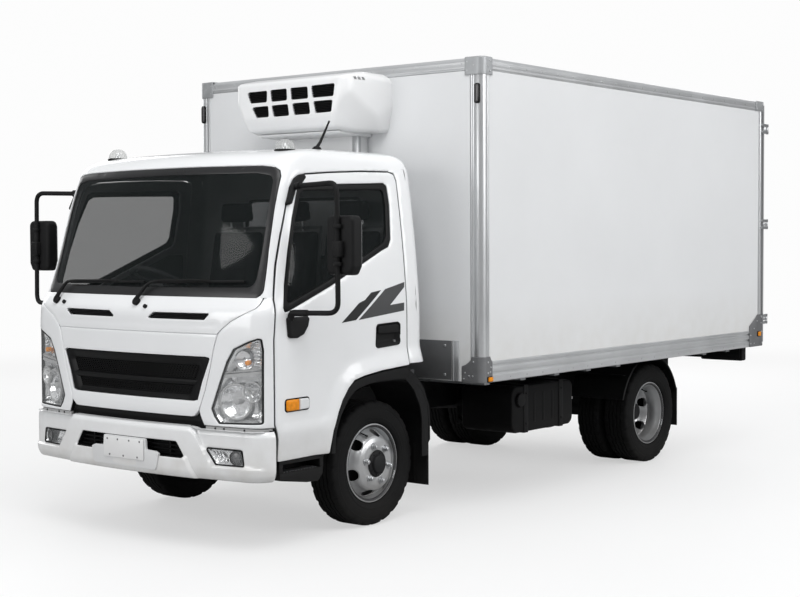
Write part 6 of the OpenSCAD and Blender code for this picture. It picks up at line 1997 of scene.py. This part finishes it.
# centre stack
cs_ = [(768, 1140), (800, 1130), (800, 1352), (776, 1356), (756, 1300)]
g.add(*prism(rounded(cs_, 8, 3), "y", -180, 190, 8, 3), 1)
for z in (1318, 1268): g.add(*prism([(754, z), (764, z), (764, z + 30), (750, z + 30)], "y", -120, 130, 3, 2), 2)
g.add(*prism(rounded([(748, 1190), (770, 1186), (770, 1246), (750, 1246)], 4, 2), "y", -130, 140, 3, 2), 3)
for yy in (-95, 5, 105):
    g.add(*lathe([(0.5, 22), (14, 22), (17, 19), (20, 6), (22, 0), (22, -6), (0.5, -6)], (764, yy, 1162), (-1, 0, 0.1), 28, closed=False), 2)
for yy in (-40, -5, 30):
    g.add(*rbox(746, 756, yy, yy + 24, 1254, 1264, 2, 2), 0)
# air vents with blades
def vent(y0, y1, z0, z1, xf):
    fr = rounded([(y0, z0), (y1, z0), (y1, z1), (y0, z1)], 10, 3)
    inn = rounded([(y0 + 9, z0 + 9), (y1 - 9, z0 + 9), (y1 - 9, z1 - 9), (y0 + 9, z1 - 9)], 6, 3)
    def mp(uv, depth): return np.stack([np.full(len(uv), xf) + (uv[:, 1] - z0) * 0.12 + depth, uv[:, 0], uv[:, 1]], 1)
    g.panel(panel_vf(fr, [inn], mapf=mp, thick=14, er=2, step=20), 1, 1)
    for z in np.arange(z0 + 16, z1 - 10, 14.0):
        g.add(*prism([(xf + 4, z), (xf + 26, z + 7), (xf + 26, z + 9.5), (xf + 4, z + 3)], "y", y0 + 8, y1 - 8), 2)
for a, b in ((-830, -690), (-262, -196), (206, 330), (690, 830)): vent(a, b, 1272, 1350, 766)
# glove box, tray, grab handle, demister slot
g.add(*prism(rounded([(775, 1146), (812, 1140), (812, 1252), (768, 1252)], 8, 3), "y", 380, 700, 6, 3), 1)
g.add(*rbox(758, 772, 500, 580, 1226, 1242, 3, 2), 2)
for q in (-700, -330, 40, 410):
    for k in range(9): g.add(*rbox(930, 968, q + k * 30, q + k * 30 + 20, 1390, 1397, 2, 2), 2)
g.add(*tube(fillet_path([(772, 360, 1366), (748, 362, 1380), (742, 400, 1384), (742, 660, 1384), (748, 698, 1380), (772, 700, 1366)], 18, 5), 10, 12), 1)
# column shroud, stalks, pedals, legs
ax = np.array([-0.5, 0, 0.8660254]); wc = np.array([480, -470, 1470.0])
def on_ax(h): return tuple(wc + ax * h)
g.add(*lathe([(20, -58), (34, -58), (38, -70), (40, -180), (36, -270), (36, -478), (20, -478)], tuple(wc), tuple(ax), 40), 1)
g.add(*rbox(640, 858, -518, -422, 1082, 1198, 16, 4), 1)
for q in (-1, 1):
    p0 = wc + ax * -96 + np.array([0, q * 34, 0])
    g.add(*tube(fillet_path([tuple(p0), tuple(p0 + np.array([6, q * 70, 14])), tuple(p0 + np.array([10, q * 150, 30]))], 20, 4), 7, 10), 2)
    g.add(*dome(tuple(p0 + np.array([10, q * 140, 28])), (0.06, q, 0.13), 10, 0, 34, 14, 4), 2)
for yy, x in ((-560, 800), (-470, 815), (-370, 830)):
    g.add(*tube(fillet_path([(x + 60, yy, 1130), (x + 30, yy, 1050), (x - 20, yy, 1000)], 20, 4), 9, 10), 4)
    g.add(*rbox(x - 44, x - 4, yy - 30, yy + 30, 988, 1006, 5, 2), 2)
for y in (-700, 700): g.add(*rbox(902, 958, y - 38, y + 38, 936, 1138, 6, 2), 1)
# gear lever on the dash stack
g.add(*tube(fillet_path([(772, -140, 1180), (700, -140, 1210), (672, -140, 1290)], 30, 5), 8, 12), 4)
g.add(*lathe([(0.5, 30), (12, 29), (20, 22), (23, 8), (20, -10), (12, -22), (8, -26), (0.5, -26)], (668, -140, 1306), (-0.3, 0, 1), 28, closed=False), 2)
g.obj("dash_moulding", [DASH, GREYP, BLACKP, SMOKE, STEEL], "cab", 35, replaces=("dashboard",), slot="interior_grey")

g = Geo()
# rim with a finger-shaped section
rim = []
for k in range(20):
    a = 2 * math.pi * k / 20
    rim.append((200 + 15.5 * math.cos(a) * (1.0 if math.cos(a) > 0 else 0.92), 15.5 * math.sin(a)))
g.add(*lathe(rim, tuple(wc), tuple(ax), 120), 0)
ref = np.array([0, 0, 1.0]); ux = np.array([0.8660254, 0, 0.5]); uy = np.array([0, 1.0, 0])
for adeg in (90, 210, 330):
    a = math.radians(adeg)
    e = ux * math.cos(a) + uy * math.sin(a); tdir = -ux * math.sin(a) + uy * math.cos(a)
    sec = []
    for rr, wd, h, th in ((40, 30, -16, 12), (90, 24, -20, 10), (140, 19, -19, 9), (175, 16, -9, 9), (196, 15, -2, 9)):
        c = wc + e * rr + ax * h
        sec.append([tuple(c + tdir * wd * math.cos(p) + ax * th * math.sin(p)) for p in [2 * math.pi * q / 20 for q in range(20)]])
    g.add(*loft(sec), 0)
g.add(*lathe([(0.5, 4), (30, 4), (48, 1), (58, -5), (62, -14), (62, -42), (52, -48), (14, -48), (11, -52), (11, -148), (0.5, -148)], tuple(wc), tuple(ax), 56, closed=False), 1)
g.add(*lathe([(30, 2.5), (44, 0.5), (44, 3.0), (42, 4.2), (32, 6.0), (30, 5.5)], tuple(wc), tuple(ax), 48), 0)
g.obj("steering_wheel_grip", [DASH, GREYP], "steering", 35, replaces=("steering_wheel",), slot="interior_grey")

# ---------------------------------------------------------------- tank, battery box, frame detail
g = Geo()
tk = rounded([(-1412, 412), (-2190, 412), (-2190, 734), (-1412, 734)], 62, 7)
g.add(*prism(tk, "y", 522, 948, 12, 3), 0)
for x in (-1580, -2030):
    g.add(*rbox(x - 26, x + 26, 519, 952, 407, 413, 2, 2), 1)
    g.add(*rbox(x - 26, x + 26, 519, 952, 733, 739, 2, 2), 1)
    g.add(*rbox(x - 26, x + 26, 945, 953, 410, 736, 3, 2), 1)
    g.add(*rbox(x - 34, x + 34, 374, 562, 560, 600, 5, 2), 1)
    g.add(*rbox(x - 30, x + 30, 372, 392, 430, 690, 5, 2), 1)
    g.add(*prism([(392, 440), (540, 404), (540, 412), (392, 470)], "x", x - 30, x + 30, 2, 2), 1)
    rivets(g, [(x, 953, 470), (x, 953, 680)], (0, 1, 0), 8, 7, 1)
g.add(*lathe([(20, -6), (46, -6), (48, 0), (48, 14), (45, 20), (30, 23), (0.5, 24)], (-1500, 950, 640), (0, 1, 0), 44, closed=False), 1)
for k in range(16):
    a = 2 * math.pi * k / 16
    g.add(*rbox(-1500 + 47 * math.cos(a) - 3, -1500 + 47 * math.cos(a) + 3, 954, 968, 640 + 47 * math.sin(a) - 3, 640 + 47 * math.sin(a) + 3, 1.4, 1), 1)
# pressed ribs in the tank ends
for x in (-1690, -1805, -1920):
    g.add(*rbox(x - 14, x + 14, 943, 950, 470, 676, 5, 3), 0)
g.obj("fuel_tank_shell", [FRAMEB, BLACKP, STEEL], "chassis", 35, replaces=("fuel_tank",), slot="chassis_black")

g = Geo()
g.add(*prism(rounded([(-1778, 432), (-1182, 432), (-1182, 640), (-1778, 640)], 18, 4), "y", -914, -502, 8, 3), 0)
g.add(*prism(rounded([(-1784, 632), (-1176, 632), (-1190, 699), (-1770, 699)], [6, 6, 24, 24], 4), "y", -920, -498, 10, 3), 0)
for x in np.arange(-1740, -1200, 54.0): g.add(*rbox(x - 10, x + 10, -921, -912, 450, 615, 4, 2), 0)
for x in (-1640, -1320):
    g.add(*rbox(x - 9, x + 9, -930, -916, 596, 664, 4, 2), 1)
    g.add(*rbox(x - 30, x + 30, -522, -372, 580, 640, 4, 2), 2)
g.obj("battery_cover", [BLACKP, STEEL, FRAMEB], "chassis", 35, replaces=("battery_box",), slot="chassis_black")

g = Geo()
for s in (-1, 1):
    for x in np.arange(-4560, -500, 150.0):
        for z in (0, 1):
            rivets(g, [(x, s * 375, 690 + z * 90)], (0, s, 0), 9, 7, 0)
g.obj("frame_bolts", [FRAMEB], "chassis", 35)
#PART6
# ------------------------------------------------------------------ finishes of the CAD nodes that stay
CAD_FINISH = {
    "frame_rails": FRAMEB, "frame_crossmembers": FRAMEB, "front_axle": CAST, "rear_axle": CAST, "leaf_springs": CAST, "engine": CAST, "drive_shaft": CAST,
    "fuel_tank": FRAMEB, "battery_box": BLACKP, "front_mudguards": BLACKP, "rear_mudguards": BLACKP, "tail_lamps": BLACKP,
    "box_floor": FLOORA, "box_side_walls": BOXW, "box_front_wall": BOXW, "box_roof": BOXW, "box_posts": ALUV, "box_rails": ALU, "cooling_unit": UNITW,
    "rear_door_left": BOXW, "rear_door_right": BOXW, "cab_floor": DASH, "cab_steps": BLACKP, "arch_liners": BLACKP, "dashboard": DASH, "seats": FABRIC,
    "roof_beacons": DOME, "left_door": WHITE, "right_door": WHITE, "left_door_glass": DGLASS, "right_door_glass": DGLASS, "left_mirror": BLACKP, "right_mirror": BLACKP,
    "steering_wheel": DASH, "left_knuckle": CAST, "right_knuckle": CAST, "front_left_rim": RIM, "front_right_rim": RIM, "rear_left_rims": RIM, "rear_right_rims": RIM,
    "front_left_tyre": RUBBER, "front_right_tyre": RUBBER, "rear_left_tyres": RUBBER, "rear_right_tyres": RUBBER,
    "cab_roof": WHITE, "cab_sides": WHITE, "cab_rear_wall": WHITE, "front_panel": WHITE, "cab_glass": GLASS, "grille": BLACKG, "headlamps": CHROME, "bumper": WHITE, "fog_lamps": BLACKP}
BEVEL = {"frame_rails": 3, "frame_crossmembers": 4, "front_axle": 6, "rear_axle": 6, "leaf_springs": 3, "engine": 12, "fuel_tank": 14, "battery_box": 8, "box_side_walls": 2, "box_front_wall": 2,
         "box_roof": 2, "box_posts": 3, "box_rails": 4, "box_floor": 2, "rear_door_left": 3, "rear_door_right": 3, "cab_floor": 4, "cab_steps": 5, "dashboard": 14, "left_knuckle": 4, "right_knuckle": 4, "tail_lamps": 5,
         "front_mudguards": 2, "rear_mudguards": 2, "steering_wheel": 2}
for name, o in frame["nodes"].items():
    mat = CAD_FINISH[name]
    if len(o.material_slots) == 0: o.data.materials.append(mat)
    for sl in o.material_slots: sl.material = mat
    if name in BEVEL:
        md = o.modifiers.new("edge", "BEVEL"); md.width = BEVEL[name] / 1000.0; md.segments = 2; md.limit_method = "ANGLE"; md.angle_limit = math.radians(40); md.harden_normals = False

# ------------------------------------------------------------------ floor, light, camera
def floor():
    me = bpy.data.meshes.new("studio_floor")
    n = 48
    ys = np.linspace(-60, 60, 25)
    prof = [(60.0 - 3.0 * i, 0.0) for i in range(41)]
    v, f = [], []
    for y in ys:
        for x, z in prof: v.append((x, y, z))
    m = len(prof)
    for j in range(len(ys) - 1):
        for i in range(m - 1): f.append((j * m + i, j * m + i + 1, (j + 1) * m + i + 1, (j + 1) * m + i))
    me.from_pydata(v, [], f)
    for p in me.polygons: p.use_smooth = True
    o = bpy.data.objects.new("studio_floor", me)
    SC.collection.objects.link(o)
    m_ = make_mat("studio_floor_pale", (0.80, 0.80, 0.80), 0.6, var=0.01, var_scale=0.6, fine=30, bump=0.01, bump_dist=0.0005)
    N, L = m_.node_tree.nodes, m_.node_tree.links
    b = N["Principled BSDF"]
    tc = N.new("ShaderNodeTexCoord"); ln = N.new("ShaderNodeVectorMath"); ln.operation = "LENGTH"
    L.new(tc.outputs["Object"], ln.inputs[0])
    mr = N.new("ShaderNodeMapRange"); mr.interpolation_type = "SMOOTHSTEP"; mr.inputs["From Min"].default_value = 3.5; mr.inputs["From Max"].default_value = 15.0; mr.inputs["To Min"].default_value = 0.55
    L.new(ln.outputs["Value"], mr.inputs["Value"])
    em = N.new("ShaderNodeEmission"); em.inputs["Color"].default_value = (1, 1, 1, 1); em.inputs["Strength"].default_value = 0.98
    mx = N.new("ShaderNodeMixShader"); L.new(mr.outputs["Result"], mx.inputs["Fac"]); L.new(b.outputs["BSDF"], mx.inputs[1]); L.new(em.outputs["Emission"], mx.inputs[2])
    # dim for all light but the picture's, so that the sides aren't lit from below
    dk = N.new("ShaderNodeBsdfDiffuse"); dk.inputs["Color"].default_value = (0.42, 0.42, 0.42, 1)
    lpf = N.new("ShaderNodeLightPath"); mc = N.new("ShaderNodeMixShader")
    L.new(lpf.outputs["Is Camera Ray"], mc.inputs["Fac"]); L.new(dk.outputs["BSDF"], mc.inputs[1]); L.new(mx.outputs["Shader"], mc.inputs[2])
    L.new(mc.outputs["Shader"], N["Material Output"].inputs["Surface"])
    me.materials.append(m_)
    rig.stage(o)
    return o


floor()
w = bpy.data.worlds.new("studio")
SC.world = w
w.use_nodes = True
WN, WL = w.node_tree.nodes, w.node_tree.links
bg = WN["Background"]
bg.inputs["Strength"].default_value = 1.1
wt = WN.new("ShaderNodeTexCoord"); ws = WN.new("ShaderNodeSeparateXYZ"); WL.new(wt.outputs["Generated"], ws.inputs["Vector"])
wm = WN.new("ShaderNodeMapRange"); wm.inputs["From Min"].default_value = -0.1; wm.inputs["From Max"].default_value = 1.0; WL.new(ws.outputs["Z"], wm.inputs["Value"])
wr = WN.new("ShaderNodeValToRGB"); WL.new(wm.outputs["Result"], wr.inputs["Fac"])
wr.color_ramp.elements[0].position = 0.05; wr.color_ramp.elements[0].color = (0.15, 0.153, 0.156, 1)
wr.color_ramp.elements[1].position = 0.9; wr.color_ramp.elements[1].color = (0.62, 0.625, 0.63, 1)
we = wr.color_ramp.elements.new(0.35); we.color = (0.27, 0.274, 0.28, 1)
WL.new(wr.outputs["Color"], bg.inputs["Color"])
lp = WN.new("ShaderNodeLightPath"); bw = WN.new("ShaderNodeBackground"); bw.inputs["Color"].default_value = (1, 1, 1, 1); bw.inputs["Strength"].default_value = 0.98
mxw = WN.new("ShaderNodeMixShader"); WL.new(lp.outputs["Is Camera Ray"], mxw.inputs["Fac"]); WL.new(bg.outputs["Background"], mxw.inputs[1]); WL.new(bw.outputs["Background"], mxw.inputs[2])
WL.new(mxw.outputs["Shader"], WN["World Output"].inputs["Surface"])
SC.view_settings.view_transform = "Standard"


def area(name, loc, target, size, power, color=(1, 1, 1)):
    l = bpy.data.lights.new(name, "AREA"); l.shape = "RECTANGLE"; l.size, l.size_y = size; l.energy = power; l.color = color
    o = bpy.data.objects.new(name, l); SC.collection.objects.link(o)
    d = Vector(target) - Vector(loc)
    o.location = loc; o.rotation_euler = d.to_track_quat("-Z", "Y").to_euler()
    return o


area("key_top", (5.0, 4.4, 9.0), (1.0, 0.5, 1.0), (7, 6), 520)
area("front_fill", (9.5, -1.5, 3.2), (2.0, 0, 1.2), (4.5, 3.5), 185)
area("side_fill", (-2.5, 9.5, 4.5), (-1.0, 0, 1.4), (8, 4), 405)
area("right_fill", (-1.0, -9.5, 4.5), (-0.5, 0, 1.4), (8, 4), 200)
area("rear_fill", (-9, -4, 4.5), (-2, 0, 1.4), (6, 4), 260)

cam = bpy.data.cameras.new("photo_camera")
co = bpy.data.objects.new("photo_camera", cam); SC.collection.objects.link(co)
cyaw, cpit, crol = 0.6716336, -0.0400123, -0.0041659
fwd = np.array([-math.cos(cyaw) * math.cos(cpit), -math.sin(cyaw) * math.cos(cpit), math.sin(cpit)])
rgt = np.cross(fwd, [0, 0, 1.0]); rgt /= np.linalg.norm(rgt)
upv = np.cross(rgt, fwd)
r2 = rgt * math.cos(crol) + upv * math.sin(crol); u2 = -rgt * math.sin(crol) + upv * math.cos(crol)
loc = W((6886.572, 6573.598, 1743.097))
co.matrix_world = Matrix(((r2[0], u2[0], -fwd[0], loc[0]), (r2[1], u2[1], -fwd[1], loc[1]), (r2[2], u2[2], -fwd[2], loc[2]), (0, 0, 0, 1)))
cam.sensor_width = 36.0; cam.sensor_fit = "HORIZONTAL"; cam.lens = 36 * 1471.948 / 800
cam.clip_start = 0.1; cam.clip_end = 200
SC.camera = co

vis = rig.bounds()
with open("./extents.json", "w") as fh:
    json.dump({"cad": [[float(c) for c in p] for p in CAD_BOX], "visual": [[float(c) for c in p] for p in vis]}, fh)
